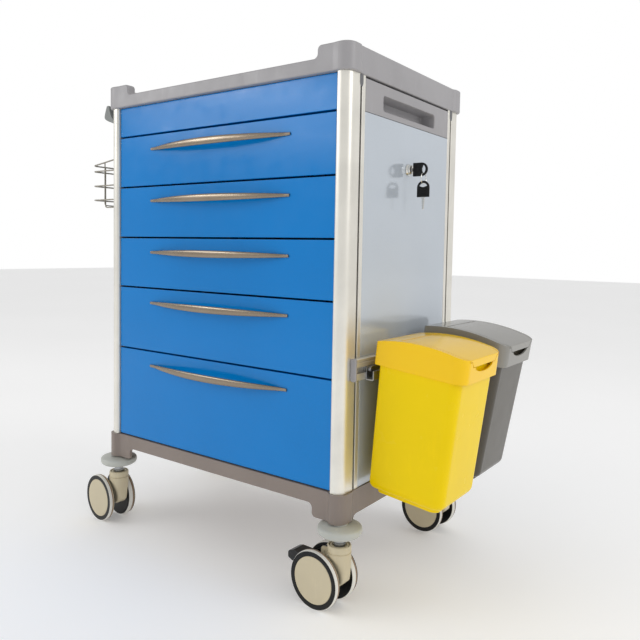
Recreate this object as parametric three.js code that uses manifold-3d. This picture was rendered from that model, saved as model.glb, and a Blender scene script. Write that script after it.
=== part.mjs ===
// A wheeled ward trolley: a steel cabinet with five drawers between four aluminium columns,
// a moulded top and base, a central lock, a side rail with two lidded bins, a wire basket,
// a push handle and four twin-wheel casters. Millimetres, +Z up, the drawer fronts face -Y.
import * as THREE from "three";
import { mergeVertices } from "three/addons/utils/BufferGeometryUtils.js";
import Module from "manifold-3d";

const wasm = await Module();
wasm.setup();

// Driving dimensions. Heights are above the floor, and the drawer fronts lie on y = 0.
const GAP = 0.3; // left between pieces that touch
const BODY = { half: 306, depth: 409, bottom: 200, top: 899 };
const RIM = {
  half: 312, front: -10, bulge: 1.5, corner: 19, waist: 3.6, top: 945, frontTop: 924, deck: 912, wall: 20,
};
const BASE = {
  half: 311, front: -3, bulge: 8, corner: 19, waist: 3.2, plate: 15, skirt: 157, middle: 173, foot: 149.5,
};
const SWELL = { from: 277, to: 288, side: 22, end: 29 }; // where the corners of both swell round the columns
const NOTCH_HALF = 245; // half width of the lowered middle of the top's and the base's front
const COLUMN = {
  inner: 281.4, front: -7, radius: 16, depth: 46, wall: 3, grooveFrom: 30, grooveTo: 35, grooveDeep: 6,
};
const DRAWER_LEVELS = [837.8, 732.5, 626.9, 522.2, 390.8, 200];
const FRONT = { half: 279.9, thick: 18, reveal: 3.4, sheet: 1.5 };
const TRAVEL_DEPTH = 366; // length of a drawer tray from front to back
const TRAY = { half: 262.5, floorAbove: 14, topBelow: 20, wall: 1.5 };
const RUNNER = { web: 2.3, outer: 275.3, half: 22, flange: 2, innerHalf: 15 };
const HANDLE = { centre: 1.5, half: 182.5, foot: 19, reach: 28, thick: 6, high: 14, tipHigh: 5, below: 30.4 };
const PANEL = { top: 840.7, thick: 12, sheet: 1.5 };
const GRIP = { y0: 105, y1: 301, z0: 852, z1: 877.5, corner: 5, deep: 30, wall: 2.5 };
const LOCK = { y: 199, z: 759.5, camArm: 16 };
const KEY = { shown: 1.7, blade: 6.5, bladeThick: 2.2, bowHigh: 25, bowLong: 30, bowThick: 3, rim: 4.5 };
const RING = { radius: 10, wire: 0.75 };
const RAIL = { bottom: 390, top: 427, slotFrom: 402, slotTo: 412, face: 317, y0: 20, y1: 396, cap: 5 };
const CARRIER = {
  y0: 47, y1: 372, outer: 333, low: 389, edgeTop: 405.6, top: 411.6, sheet: 2, bolts: [58, 355],
};
const BIN = { collarX: 81.4, collarY: 76.1, corner: 22, nearCorner: 5, skirt: 39.5, dome: 10, skin: 3 };
const BIN_BODY = { x: 72.5, y: 72.7, corner: 18, tall: 223, wall: 2.5, taperX: 0.06, taperY: 0.055 };
const HOOK = { x0: -86.8, lip: 2.4, half: 30, sheet: 3, drop: 9 };
// How each bin hangs: the middle of its collar's lower edge, its tilt, and the underside of its hook.
const BINS = [
  { name: "yellow", x: 414.3, y: 121.5, z: 409.6, tilt: 6.2, hook: -12.3 },
  { name: "grey", x: 413.8, y: 291, z: 417.9, tilt: 8.8, hook: -24.1 },
];
const FLAP = { hinge: -38, y: 66, lipTop: 54, lipFoot: 44, lipZ: 27, lipThick: 2.6, thick: 3, clear: 0.4 };
const BASKET = {
  outer: -418, inner: -314, y0: 30, y1: 270, bottom: 697, rings: [712, 744, 777], tip: 790, rise: 804,
};
const WIRE = 3.4;
const CASTER = { x: 296.6, inset: 8.1, trail: 30.4, radius: 50, faceIn: 17.5, faceOut: 33.8, axle: 6 };
const BUMPER = { radius: 38.3, bottom: 128, top: 147 };

// Materials, one for each finish.
const finish = (color, roughness, metalness) =>
  new THREE.MeshStandardMaterial({ color, roughness, metalness });
const BLUE_ENAMEL = finish(0x1886cd, 0.2, 0);
const SILVER_ENAMEL = finish(0xbec6cd, 0.35, 0.2);
const GREY_ABS = finish(0x96938f, 0.5, 0);
const BASE_ABS = finish(0x877d78, 0.5, 0);
const ANODISED = finish(0xc8c4b9, 0.35, 0.9);
const ZINC = finish(0xa8aaac, 0.4, 1);
const NICKEL = finish(0x8d8070, 0.28, 1);
const CHROME = finish(0xd8d8d8, 0.08, 1);
const BLACK_PLASTIC = finish(0x16171a, 0.45, 0);
const YELLOW = finish(0xecc81e, 0.3, 0);
const BIN_GREY = finish(0x8e8c86, 0.35, 0);
const WIRE_STEEL = finish(0x9a968e, 0.3, 1);
const BUMPER_GREY = finish(0xafb2ac, 0.55, 0);
const CREAM = finish(0xc3b79b, 0.5, 0);
const TYRE = finish(0xdad6cc, 0.6, 0);

// A closed three.js geometry as a solid that can be joined and cut, always facing outwards.
function solidOf(geometry) {
  const bare = geometry.index ? geometry.toNonIndexed() : geometry.clone();
  bare.deleteAttribute("normal");
  bare.deleteAttribute("uv");
  const merged = mergeVertices(bare, 1e-4);
  const faces = [];
  const index = merged.index.array;
  for (let i = 0; i < index.length; i += 3) {
    const [a, b, c] = [index[i], index[i + 1], index[i + 2]];
    if (a !== b && b !== c && a !== c) faces.push([a, b, c]);
  }
  const make = (list) =>
    new wasm.Manifold(
      new wasm.Mesh({
        numProp: 3,
        vertProperties: merged.attributes.position.array,
        triVerts: new Uint32Array(list.flat()),
      }),
    );
  const made = make(faces);
  return made.volume() > 0 ? made : make(faces.map(([a, b, c]) => [a, c, b]));
}

function geometryOf(solid) {
  const mesh = solid.getMesh();
  const positions = new Float32Array(mesh.numVert * 3);
  for (let i = 0; i < mesh.numVert; i++) {
    const from = i * mesh.numProp;
    positions.set(mesh.vertProperties.subarray(from, from + 3), i * 3);
  }
  const geometry = new THREE.BufferGeometry();
  geometry.setAttribute("position", new THREE.BufferAttribute(positions, 3));
  geometry.setIndex(new THREE.BufferAttribute(new Uint32Array(mesh.triVerts), 1));
  geometry.computeVertexNormals();
  return geometry;
}

function piece(name, solid, material) {
  const mesh = new THREE.Mesh(geometryOf(solid), material);
  mesh.name = name;
  return mesh;
}

const join = (...solids) => solids.reduce((a, b) => a.add(b));
const cut = (solid, ...tools) => tools.reduce((a, b) => a.subtract(b), solid);

function box(x0, x1, y0, y1, z0, z1) {
  const geometry = new THREE.BoxGeometry(x1 - x0, y1 - y0, z1 - z0);
  return solidOf(geometry.translate((x0 + x1) / 2, (y0 + y1) / 2, (z0 + z1) / 2));
}

// A flat outline through points, or one already made as a shape.
const outlineOf = (outline) => {
  if (outline instanceof THREE.Shape) return outline;
  return new THREE.Shape(outline.map(([u, v]) => new THREE.Vector2(u, v)));
};

function extruded(outline, depth, segments = 5) {
  const settings = { depth, bevelEnabled: false, curveSegments: segments };
  return new THREE.ExtrudeGeometry(outlineOf(outline), settings);
}

// Prisms: an outline in (x, y), (x, z) or (y, z) that runs along the axis left out.
const prismZ = (outline, from, to, segments) =>
  solidOf(extruded(outline, to - from, segments).translate(0, 0, from));
const prismY = (outline, from, to, segments) =>
  solidOf(extruded(outline, to - from, segments).rotateX(Math.PI / 2).translate(0, to, 0));
function prismX(outline, from, to, segments) {
  const turn = new THREE.Matrix4().makeBasis(
    new THREE.Vector3(0, 1, 0),
    new THREE.Vector3(0, 0, 1),
    new THREE.Vector3(1, 0, 0),
  );
  return solidOf(extruded(outline, to - from, segments).applyMatrix4(turn).translate(from, 0, 0));
}

// A rectangle with rounded corners, whose corners at u0 may have a radius of their own.
function roundedRect(u0, u1, v0, v1, radius, nearRadius = radius) {
  const shape = new THREE.Shape();
  shape.moveTo(u0 + nearRadius, v0);
  shape.lineTo(u1 - radius, v0);
  shape.absarc(u1 - radius, v0 + radius, radius, -Math.PI / 2, 0);
  shape.lineTo(u1, v1 - radius);
  shape.absarc(u1 - radius, v1 - radius, radius, 0, Math.PI / 2);
  shape.lineTo(u0 + nearRadius, v1);
  shape.absarc(u0 + nearRadius, v1 - nearRadius, nearRadius, Math.PI / 2, Math.PI);
  shape.lineTo(u0, v0 + nearRadius);
  shape.absarc(u0 + nearRadius, v0 + nearRadius, nearRadius, Math.PI, 1.5 * Math.PI);
  return shape;
}

// A solid of revolution about Z from (radius, height) points. A profile off the axis closes on itself.
function turned(profile, segments = 24) {
  const points = profile.map(([r, h]) => new THREE.Vector2(r, h));
  return new THREE.LatheGeometry(points, segments).rotateX(Math.PI / 2);
}
const turnedZ = (profile, x, y, segments) => solidOf(turned(profile, segments).translate(x, y, 0));
const turnedX = (profile, y, z, segments) =>
  solidOf(turned(profile, segments).rotateY(Math.PI / 2).translate(0, y, z));
const turnedY = (profile, x, z, segments) =>
  solidOf(turned(profile, segments).rotateX(-Math.PI / 2).translate(x, 0, z));
// A plain pin or bore of one radius.
const rod = (radius, from, to) => [[0, from], [radius, from], [radius, to], [0, to]];

// The same closed geometry on the other side of the centre plane, or of the middle of the depth.
function mirrored(solid, flipX, flipY) {
  const geometry = geometryOf(solid);
  geometry.scale(flipX ? -1 : 1, flipY ? -1 : 1, 1);
  return solidOf(geometry.translate(0, flipY ? BODY.depth : 0, 0));
}

// A sheet folded to a shallow tray: the box less a hollow that opens through one face.
function foldedTray([x0, x1], [y0, y1], [z0, z1], sheet, openTo) {
  const past = 1;
  const inner = [
    [x0 + sheet, x1 - sheet],
    [y0 + sheet, y1 - sheet],
    [z0 + sheet, z1 - sheet],
  ];
  const outer = [x0, x1, y0, y1, z0, z1];
  const axis = { x: 0, y: 1, z: 2 }[openTo[1]];
  if (openTo[0] === "+") inner[axis][1] = outer[axis * 2 + 1] + past;
  else inner[axis][0] = outer[axis * 2] - past;
  return cut(box(...outer), box(...inner.flat()));
}

// Plan of the top or the base, swollen round the columns and waisted along the sides.
function mouldingPlan({ half, front, bulge, corner, waist }) {
  const steps = 6;
  const face = front - bulge;
  const quarter = [[SWELL.from, front], [SWELL.to, face]];
  for (let i = 0; i <= steps; i++) {
    const angle = ((i / steps - 1) * Math.PI) / 2;
    quarter.push([half - corner * (1 - Math.cos(angle)), face + corner * (1 + Math.sin(angle))]);
  }
  quarter.push([half, SWELL.side], [half - waist, SWELL.end]);
  const rear = quarter.map(([x, y]) => [x, BODY.depth - y]).reverse();
  const right = [...quarter, ...rear];
  return [...right, ...right.map(([x, y]) => [-x, y]).reverse()];
}

// Moulded top: a deck inside a raised rim whose front middle is lower.
function topSurround() {
  const { half, front, bulge, wall, top, deck, frontTop } = RIM;
  const whole = prismZ(mouldingPlan(RIM), BODY.top + GAP, top);
  const ys = [front + wall, BODY.depth - front - wall];
  const well = prismZ(roundedRect(-half + wall, half - wall, ...ys, 12), deck, top + 1, 3);
  const notch = roundedRect(-NOTCH_HALF, NOTCH_HALF, frontTop, top + 40, 8);
  return cut(whole, well, prismY(notch, front - bulge - 1, front + wall + 1, 3));
}

// Moulded base: a plate with a skirt under it, which is deeper round a boss over each caster.
function baseTray() {
  const { half, front, bulge, waist, plate, skirt, middle, foot } = BASE;
  const wall = 6;
  const back = BODY.depth - front;
  const outline = mouldingPlan(BASE);
  const edge = half - waist - wall;
  const inside = roundedRect(-edge, edge, front + wall, back - wall, 12);
  const top = BODY.bottom - GAP;
  const shell = cut(prismZ(outline, skirt, top), prismZ(inside, skirt - 1, top - plate));
  const past = bulge + 1;
  const low = cut(
    shell,
    box(-NOTCH_HALF, NOTCH_HALF, front - past, front + wall + 1, skirt - 1, middle),
    box(-NOTCH_HALF, NOTCH_HALF, back - wall - 1, back + past, skirt - 1, middle),
  );
  const corners = [];
  for (const [x0, x1] of [[-half - 1, -NOTCH_HALF], [NOTCH_HALF, half + 1]])
    for (const [y0, y1] of [[front - past, SWELL.end], [BODY.depth - SWELL.end, back + past]])
      corners.push(box(x0, x1, y0, y1, foot, skirt + 1));
  const bossRadius = 18;
  const bosses = [-CASTER.x, CASTER.x].flatMap((x) =>
    [CASTER.inset, BODY.depth - CASTER.inset].map((y) =>
      turnedZ(rod(bossRadius, foot, top - plate + 1), x, y),
    ),
  );
  const deeper = cut(join(...corners), prismZ(inside, foot - 1, skirt + 2));
  return join(low, prismZ(outline, foot, top - 1).intersect(join(deeper, ...bosses)));
}

// Front right column: a hollow extrusion that bulges forwards, with a groove behind its round corner.
function column() {
  const { inner, front, radius, depth, wall, grooveFrom, grooveTo, grooveDeep } = COLUMN;
  const outer = BODY.half;
  const centre = [outer - radius, front + radius];
  const shape = new THREE.Shape();
  shape.moveTo(inner, 0);
  shape.quadraticCurveTo(inner + 2, front, centre[0], front);
  shape.absarc(...centre, radius, -Math.PI / 2, 0);
  shape.lineTo(outer, grooveFrom);
  shape.lineTo(outer - grooveDeep, grooveFrom);
  shape.lineTo(outer - grooveDeep, grooveTo);
  shape.lineTo(outer, grooveTo);
  shape.lineTo(outer, depth);
  shape.lineTo(inner, depth);
  const hollow = new THREE.Path();
  const outside = outer - wall - grooveDeep;
  hollow.moveTo(inner + wall, 2 * wall);
  hollow.lineTo(inner + wall, depth - wall);
  hollow.lineTo(outside, depth - wall);
  hollow.lineTo(outside, centre[1]);
  hollow.lineTo(centre[0], front + 1.7 * wall);
  shape.holes.push(hollow);
  return prismZ(shape, BODY.bottom, BODY.top, 8);
}

const panelSpan = [COLUMN.depth + GAP, BODY.depth - COLUMN.depth - GAP];

// Right side panel, folded from sheet, with a hole for the lock barrel.
function sidePanel() {
  const outer = BODY.half - 0.4;
  const zs = [BODY.bottom, PANEL.top];
  const tray = foldedTray([outer - PANEL.thick, outer], panelSpan, zs, PANEL.sheet, "-x");
  return cut(tray, turnedX(rod(BARREL.shank + 0.4, outer - 5, outer + 5), LOCK.y, LOCK.z));
}

function leftSidePanel() {
  const outer = -BODY.half + 0.4;
  return foldedTray([outer, outer + PANEL.thick], panelSpan, [BODY.bottom, PANEL.top], PANEL.sheet, "+x");
}

function backPanel() {
  const half = COLUMN.inner - GAP;
  const zs = [BODY.bottom, BODY.top];
  return foldedTray([-half, half], [BODY.depth - PANEL.thick, BODY.depth], zs, PANEL.sheet, "-y");
}

const gripBand = [PANEL.top + GAP + 0.3, BODY.top];

// Moulded panel under the top on the right, with a recess for the fingers.
function gripPanel() {
  const outer = BODY.half;
  const { y0, y1, z0, z1, corner, deep, wall } = GRIP;
  const plate = box(outer - 3, outer, ...panelSpan, ...gripBand);
  const around = roundedRect(y0 - wall, y1 + wall, z0 - wall, z1 + wall, corner + wall);
  const tub = prismX(around, outer - deep - wall, outer - 1, 3);
  const hollow = prismX(roundedRect(y0, y1, z0, z1, corner), outer - deep, outer + 1, 4);
  return cut(join(plate, tub), hollow);
}

// Moulded push handle on the left: a panel whose lip sweeps out and up beside the top.
function pushHandle() {
  const face = -BODY.half;
  const lip = new THREE.Shape();
  lip.moveTo(face - GAP, 850);
  lip.bezierCurveTo(-316, 852, -322, 876, -342, 882);
  lip.bezierCurveTo(-352, 885, -363, 888, -361, 896);
  lip.lineTo(-354, 914);
  lip.bezierCurveTo(-352, 918, -346, 918, -345, 914);
  lip.lineTo(-344, 904);
  lip.bezierCurveTo(-342, 892, -326, 886, face - GAP, 880);
  const plate = box(face, face + 3, ...panelSpan, ...gripBand);
  const bridge = box(face - 1, face + 1, panelSpan[0] + 1, panelSpan[1] - 1, 851, 879);
  return join(plate, bridge, prismY(lip, 20, BODY.depth - 20, 4));
}

// A blue front: sheet folded back all round.
const frontTray = (z0, z1) =>
  foldedTray([-FRONT.half, FRONT.half], [0, FRONT.thick], [z0, z1], FRONT.sheet, "+y");
const topFascia = () => frontTray(DRAWER_LEVELS[0] + FRONT.reveal / 2, BODY.top - 0.2);

// The five drawers, from the top one down.
const drawers = DRAWER_LEVELS.slice(0, -1).map((level, i) => {
  const z1 = level - FRONT.reveal / 2;
  const z0 = DRAWER_LEVELS[i + 1] + FRONT.reveal / 2;
  const floor = z0 + TRAY.floorAbove;
  return { z0, z1, floor, trayTop: z1 - TRAY.topBelow, runner: floor + 32, handle: level - HANDLE.below };
});

const trayFront = FRONT.thick + GAP;

// Right runner frame: two uprights and the fixed channel of each drawer runner.
function runnerFrame() {
  const { outer, web, half, flange } = RUNNER;
  const channels = drawers.map(({ runner }) => {
    const y0 = trayFront + 2;
    const y1 = trayFront + TRAVEL_DEPTH + 4;
    const whole = box(TRAY.half + 0.9, outer, y0, y1, runner - half, runner + half);
    const throat = box(0, outer - web, y0 - 1, y1 + 1, runner - half + flange, runner + half - flange);
    return cut(whole, throat);
  });
  const uprights = [[50, 80], [330, 360]].map(([y0, y1]) =>
    box(outer - 0.5, outer + 5, y0, y1, BODY.bottom + GAP, BODY.top - GAP),
  );
  return join(...uprights, ...channels);
}

// The same frame with two loops that guide the locking bar.
function guidedRunnerFrame() {
  const { outer } = RUNNER;
  const guides = [drawers[1].runner, drawers[4].runner].map((z) =>
    cut(
      box(outer - 0.5, outer + 11, LOCK.y - 12, LOCK.y + 32, z - 6, z + 6),
      box(BAR.x0 - 0.5, BAR.x1 + 0.5, BAR.y0 - 0.5, BAR.y1 + 0.5, z - 7, z + 7),
    ),
  );
  return join(runnerFrame(), ...guides);
}

// A drawer tray with the moving member of its runner along each side.
function drawerTray({ floor, trayTop, runner }) {
  const ys = [trayFront, trayFront + TRAVEL_DEPTH];
  const tray = foldedTray([-TRAY.half, TRAY.half], ys, [floor, trayTop], TRAY.wall, "+z");
  const inner = RUNNER.outer - RUNNER.web - 0.5;
  const zs = [runner - RUNNER.innerHalf, runner + RUNNER.innerHalf];
  const member = (x0, x1) => box(x0, x1, ys[0] + 6, ys[1], ...zs);
  return join(tray, member(TRAY.half - 0.5, inner), member(-inner, -TRAY.half + 0.5));
}

// A bow handle: a crescent in plan that tapers in height towards its two flat feet.
function drawerHandle(z) {
  const { centre, half, foot, reach, thick, high, tipHigh } = HANDLE;
  const face = -GAP;
  const plan = new THREE.Shape();
  plan.moveTo(centre - half, face);
  plan.lineTo(centre - half, face - 2.4);
  plan.lineTo(centre - half + foot * 0.7, face - 4.2);
  plan.quadraticCurveTo(centre, -2 * reach + 4, centre + half - foot * 0.7, face - 4.2);
  plan.lineTo(centre + half, face - 2.4);
  plan.lineTo(centre + half, face);
  plan.lineTo(centre + half - foot, face);
  plan.quadraticCurveTo(centre, -2 * (reach - thick), centre - half + foot, face);
  const front = new THREE.Shape();
  front.moveTo(centre - half, z - tipHigh / 2);
  front.quadraticCurveTo(centre, z - high + tipHigh / 2, centre + half, z - tipHigh / 2);
  front.lineTo(centre + half, z + tipHigh / 2);
  front.quadraticCurveTo(centre, z + high - tipHigh / 2, centre - half, z + tipHigh / 2);
  return prismZ(plan, z - high, z + high, 12).intersect(prismY(front, -reach - 5, 5, 8));
}

// Lock: a barrel in the side panel, its plug with a cam, and the bar that the cam lifts.
const BARREL = { back: 290, face: BODY.half - 0.4 + GAP, flange: 10.8, shank: 8.2, bore: 4.2, nose: 314.5 };
const BAR = { x0: 281.8, x1: 283.6, y0: LOCK.y - 6, y1: LOCK.y + 26, z0: 222, z1: 800 };
const CAM = { x0: 284.2, x1: 287.4, half: 5, pin: 2.2 };

function lockBarrel() {
  const { back, face, flange, shank, bore, nose } = BARREL;
  const head = [[flange, face], [flange, face + 3], [flange - 1.8, nose], [bore, nose]];
  return turnedX([[bore, back], [shank, back], [shank, face], ...head, [bore, back]], LOCK.y, LOCK.z);
}

function lockCam() {
  const plug = BARREL.bore - GAP;
  const { y, z } = LOCK;
  const spindle = turnedX(rod(plug, CAM.x0, BARREL.nose - 0.4), y, z);
  const arm = box(CAM.x0, CAM.x1, y - CAM.half, y + LOCK.camArm + CAM.half, z - CAM.half, z + CAM.half);
  const tip = CAM.x0 - 2.8;
  const pin = turnedX(rod(CAM.pin, tip, CAM.x0 + 1), y + LOCK.camArm, z, 16);
  return join(spindle, arm, pin);
}

function lockBar() {
  const ys = [LOCK.y - 4, LOCK.y + LOCK.camArm + 4];
  const slot = box(BAR.x0 - 1, BAR.x1 + 1, ...ys, LOCK.z - 2.7, LOCK.z + 6.4);
  return cut(box(BAR.x0, BAR.x1, BAR.y0, BAR.y1, BAR.z0, BAR.z1), slot);
}

// A key with a round-ended bow, blade first along +U, made in the (x, z) plane about y = 0.
// The bow's far end is round, and its slot leaves a rim below the middle for the ring.
function keyShape(bladeLength, bowStart) {
  const { blade, bladeThick, bowHigh, bowLong, bowThick, rim } = KEY;
  const half = bowHigh / 2;
  const bow = new THREE.Shape();
  bow.moveTo(bowStart, -half);
  bow.lineTo(bowStart + bowLong - half, -half);
  bow.absarc(bowStart + bowLong - half, 0, half, -Math.PI / 2, Math.PI / 2);
  bow.lineTo(bowStart, half);
  const eyeEnd = bowStart + bowLong - rim;
  const eye = roundedRect(eyeEnd - 7.5, eyeEnd, -half + rim, half - rim, 3.4);
  const solid = cut(prismY(bow, -bowThick / 2, bowThick / 2, 10), prismY(eye, -bowThick, bowThick, 4));
  const ys = [-bladeThick / 2, bladeThick / 2];
  return join(solid, box(bowStart - bladeLength, bowStart + 1, ...ys, -blade / 2, blade / 2));
}

const bowStart = BARREL.nose + GAP + KEY.shown;
const eyeX = bowStart + KEY.bowLong - KEY.rim - 3.75; // middle of the bow's eye
const ringPivotZ = LOCK.z - KEY.bowHigh / 2 + KEY.rim / 2; // middle of the rim that the ring hangs on
const rimReach = Math.hypot(KEY.bowThick, KEY.rim) / 2 + 0.1; // from that middle to the ring's wire
const ringDrop = RING.radius - RING.wire - rimReach;
const ringZ = ringPivotZ - ringDrop;
const sparePivotZ = ringZ - ringDrop;

const lockKey = () => keyShape(KEY.shown, bowStart);

function keyRing() {
  const { radius, wire } = RING;
  const circle = new THREE.EllipseCurve(0, 0, radius, radius, 0, 2 * Math.PI);
  const loop = circle.getPoints(20).slice(0, -1).map((p) => new THREE.Vector3(0, p.x, p.y));
  const path = new THREE.CatmullRomCurve3(loop, true);
  const section = new THREE.Shape().absarc(0, 0, wire, 0, 2 * Math.PI);
  const wireSolid = new THREE.ExtrudeGeometry(section, { steps: 20, curveSegments: 3, extrudePath: path });
  return solidOf(wireSolid);
}

// Side rail: a C-shaped extrusion whose slot faces outwards, and a cap for each end.
function sideRail() {
  const face = BODY.half + GAP;
  const whole = box(face, RAIL.face, RAIL.y0, RAIL.y1, RAIL.bottom, RAIL.top);
  const mouth = box(face + 3, RAIL.face + 1, RAIL.y0 - 1, RAIL.y1 + 1, RAIL.slotFrom, RAIL.slotTo);
  const chamber = box(face + 3, RAIL.face - 3, RAIL.y0 - 1, RAIL.y1 + 1, RAIL.slotFrom - 5, RAIL.slotTo + 5);
  return cut(whole, mouth, chamber);
}

function railCap(from) {
  const section = roundedRect(BODY.half + GAP, RAIL.face + 1, RAIL.bottom - 1, RAIL.top + 1, 2.5);
  return prismY(section, from, from + RAIL.cap, 3);
}

// Steel carrier bolted to the rail, with an upturned edge that the bins hook over.
function binCarrier() {
  const { y0, y1, outer, low, edgeTop, top, sheet, bolts } = CARRIER;
  const inner = RAIL.face + GAP;
  const angle = [
    [inner, low],
    [outer, low],
    [outer, edgeTop],
    [outer - sheet, edgeTop],
    [outer - sheet, low + sheet],
    [inner + sheet, low + sheet],
    [inner + sheet, top],
    [inner, top],
  ];
  const clamps = bolts.map((y) =>
    join(
      box(RAIL.face - 7.4, RAIL.face - 3.4, y - 7, y + 7, RAIL.slotFrom - 4, RAIL.slotTo + 4),
      box(RAIL.face - 4, inner + 1, y - 3, y + 3, RAIL.slotFrom + 2, RAIL.slotTo - 2),
      box(inner + 1, inner + 5, y - 4.5, y + 4.5, RAIL.slotFrom + 0.5, RAIL.slotTo - 0.5),
    ),
  );
  return join(prismY(angle, y0, y1), ...clamps);
}

// Bins, each in its own frame: the middle of the collar's lower edge, +X away from the cabinet.
const domeZ = (x) => BIN.skirt + BIN.dome * (1 - (x / BIN.collarX) ** 2);

// The outline of a layer under the domed top, from drop below it down to z = low.
function domeOutline(x0, x1, drop, low) {
  const steps = 8;
  const top = Array.from({ length: steps + 1 }, (_, i) => {
    const x = x1 + ((x0 - x1) * i) / steps;
    return [x, domeZ(x) - drop];
  });
  return [[x0, low], [x1, low], ...top];
}

// The flap's plan, grown by a margin: square at the hinge and round at the outer corners.
function flapPlan(grow, hingeGrow) {
  const { collarX, corner } = BIN;
  const x0 = FLAP.hinge - hingeGrow;
  const y = FLAP.y + grow;
  const x1 = collarX + grow;
  const shape = new THREE.Shape();
  shape.moveTo(x0, -y);
  shape.lineTo(x1 - corner, -y);
  shape.absarc(x1 - corner, -y + corner, corner, -Math.PI / 2, 0);
  shape.lineTo(x1, y - corner);
  shape.absarc(x1 - corner, y - corner, corner, 0, Math.PI / 2);
  shape.lineTo(x0, y);
  return shape;
}

// The flap's lip, over the outer face: a tongue that narrows downwards.
function lipOutline(grow) {
  const top = BIN.skirt + BIN.dome + 8;
  const { lipTop, lipFoot, lipZ } = FLAP;
  const right = [[lipFoot + grow, lipZ - grow], [lipTop + grow, BIN.skirt], [lipTop + grow, top]];
  return [...right, ...right.map(([y, z]) => [-y, z]).reverse()];
}

function binFlap() {
  const { collarX } = BIN;
  const side = 80; // past both sides of the bin
  const layer = cut(
    prismY(domeOutline(FLAP.hinge, collarX, 0, 20), -side, side),
    prismY(domeOutline(FLAP.hinge - 5, collarX + 5, FLAP.thick, 10), -side - 1, side + 1),
  );
  const top = layer.intersect(prismZ(flapPlan(0, 0), 0, 70, 4));
  const under = prismY(domeOutline(0, collarX, 0, 0), -side, side);
  return join(top, prismX(lipOutline(0), collarX - FLAP.lipThick, collarX).intersect(under));
}

function binCollar() {
  const { collarX, collarY, corner, nearCorner, skin } = BIN;
  const { thick, clear, lipThick, lipZ, hinge } = FLAP;
  const under = thick + 2.5;
  const side = 80;
  const plan = roundedRect(-collarX, collarX, -collarY, collarY, corner, nearCorner);
  const outer = prismZ(plan, 0, 70, 4).intersect(
    prismY(domeOutline(-collarX - 1, collarX + 1, 0, -1), -side, side),
  );
  const [x, y] = [collarX - skin, collarY - skin];
  const room = roundedRect(-x, x, -y, y, corner - skin, nearCorner - skin);
  const hollow = prismZ(room, -1, 70, 4).intersect(
    prismY(domeOutline(-collarX, collarX, under, -2), -side, side),
  );
  const seat = prismZ(flapPlan(clear, 2), 0, 80, 4).intersect(
    cut(
      box(-50, 90, -side, side, 10, 79),
      prismY(domeOutline(-60, collarX + 20, thick + clear, 0), -side - 1, side + 1),
    ),
  );
  const lipSeat = prismX(lipOutline(clear), collarX - lipThick - clear, collarX + 1);
  const mouth = prismZ(roundedRect(hinge + 5, collarX - 12, -FLAP.y + 6, FLAP.y - 6, 12), 20, 80, 3);
  const moon = [[-34, lipZ + 1], [-26, 21], [-14, 17.5], [14, 17.5], [26, 21], [34, lipZ + 1]];
  return cut(outer, hollow, seat, lipSeat, mouth, prismX(moon, collarX - 2.2, collarX + 1));
}

// The tapering body, open at the top, with a hook on the cabinet side whose underside is at hookZ.
function binBody(hookZ) {
  const { x, y, corner, tall, wall, taperX, taperY } = BIN_BODY;
  const rise = 30;
  const walls = (inset, from) => {
    const [u, v] = [x - inset, y - inset];
    const plan = roundedRect(-u, u, -v, v, corner - inset, BIN.nearCorner - inset);
    const geometry = extruded(plan, rise - from, 4).translate(0, 0, from);
    const position = geometry.getAttribute("position");
    for (let i = 0; i < position.count; i++) {
      const depth = Math.max(0, -position.getZ(i)) / tall;
      position.setX(i, position.getX(i) * (1 - taperX * depth));
      position.setY(i, position.getY(i) * (1 - taperY * depth));
    }
    return solidOf(geometry);
  };
  const [innerX, innerY] = [x - wall, y - wall];
  const lid = box(-innerX, innerX, -innerY, innerY, rise - 0.5, rise + 1);
  const shell = cut(walls(0, -tall), walls(wall, -tall + wall), lid);
  const { x0, lip, half, sheet, drop } = HOOK;
  const hook = join(
    box(x0, -x + 1, -half, half, hookZ, hookZ + sheet),
    box(x0, x0 + lip, -half, half, hookZ - drop, hookZ + sheet),
  );
  return join(shell, cut(hook, walls(1, -tall + 1)));
}

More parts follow.
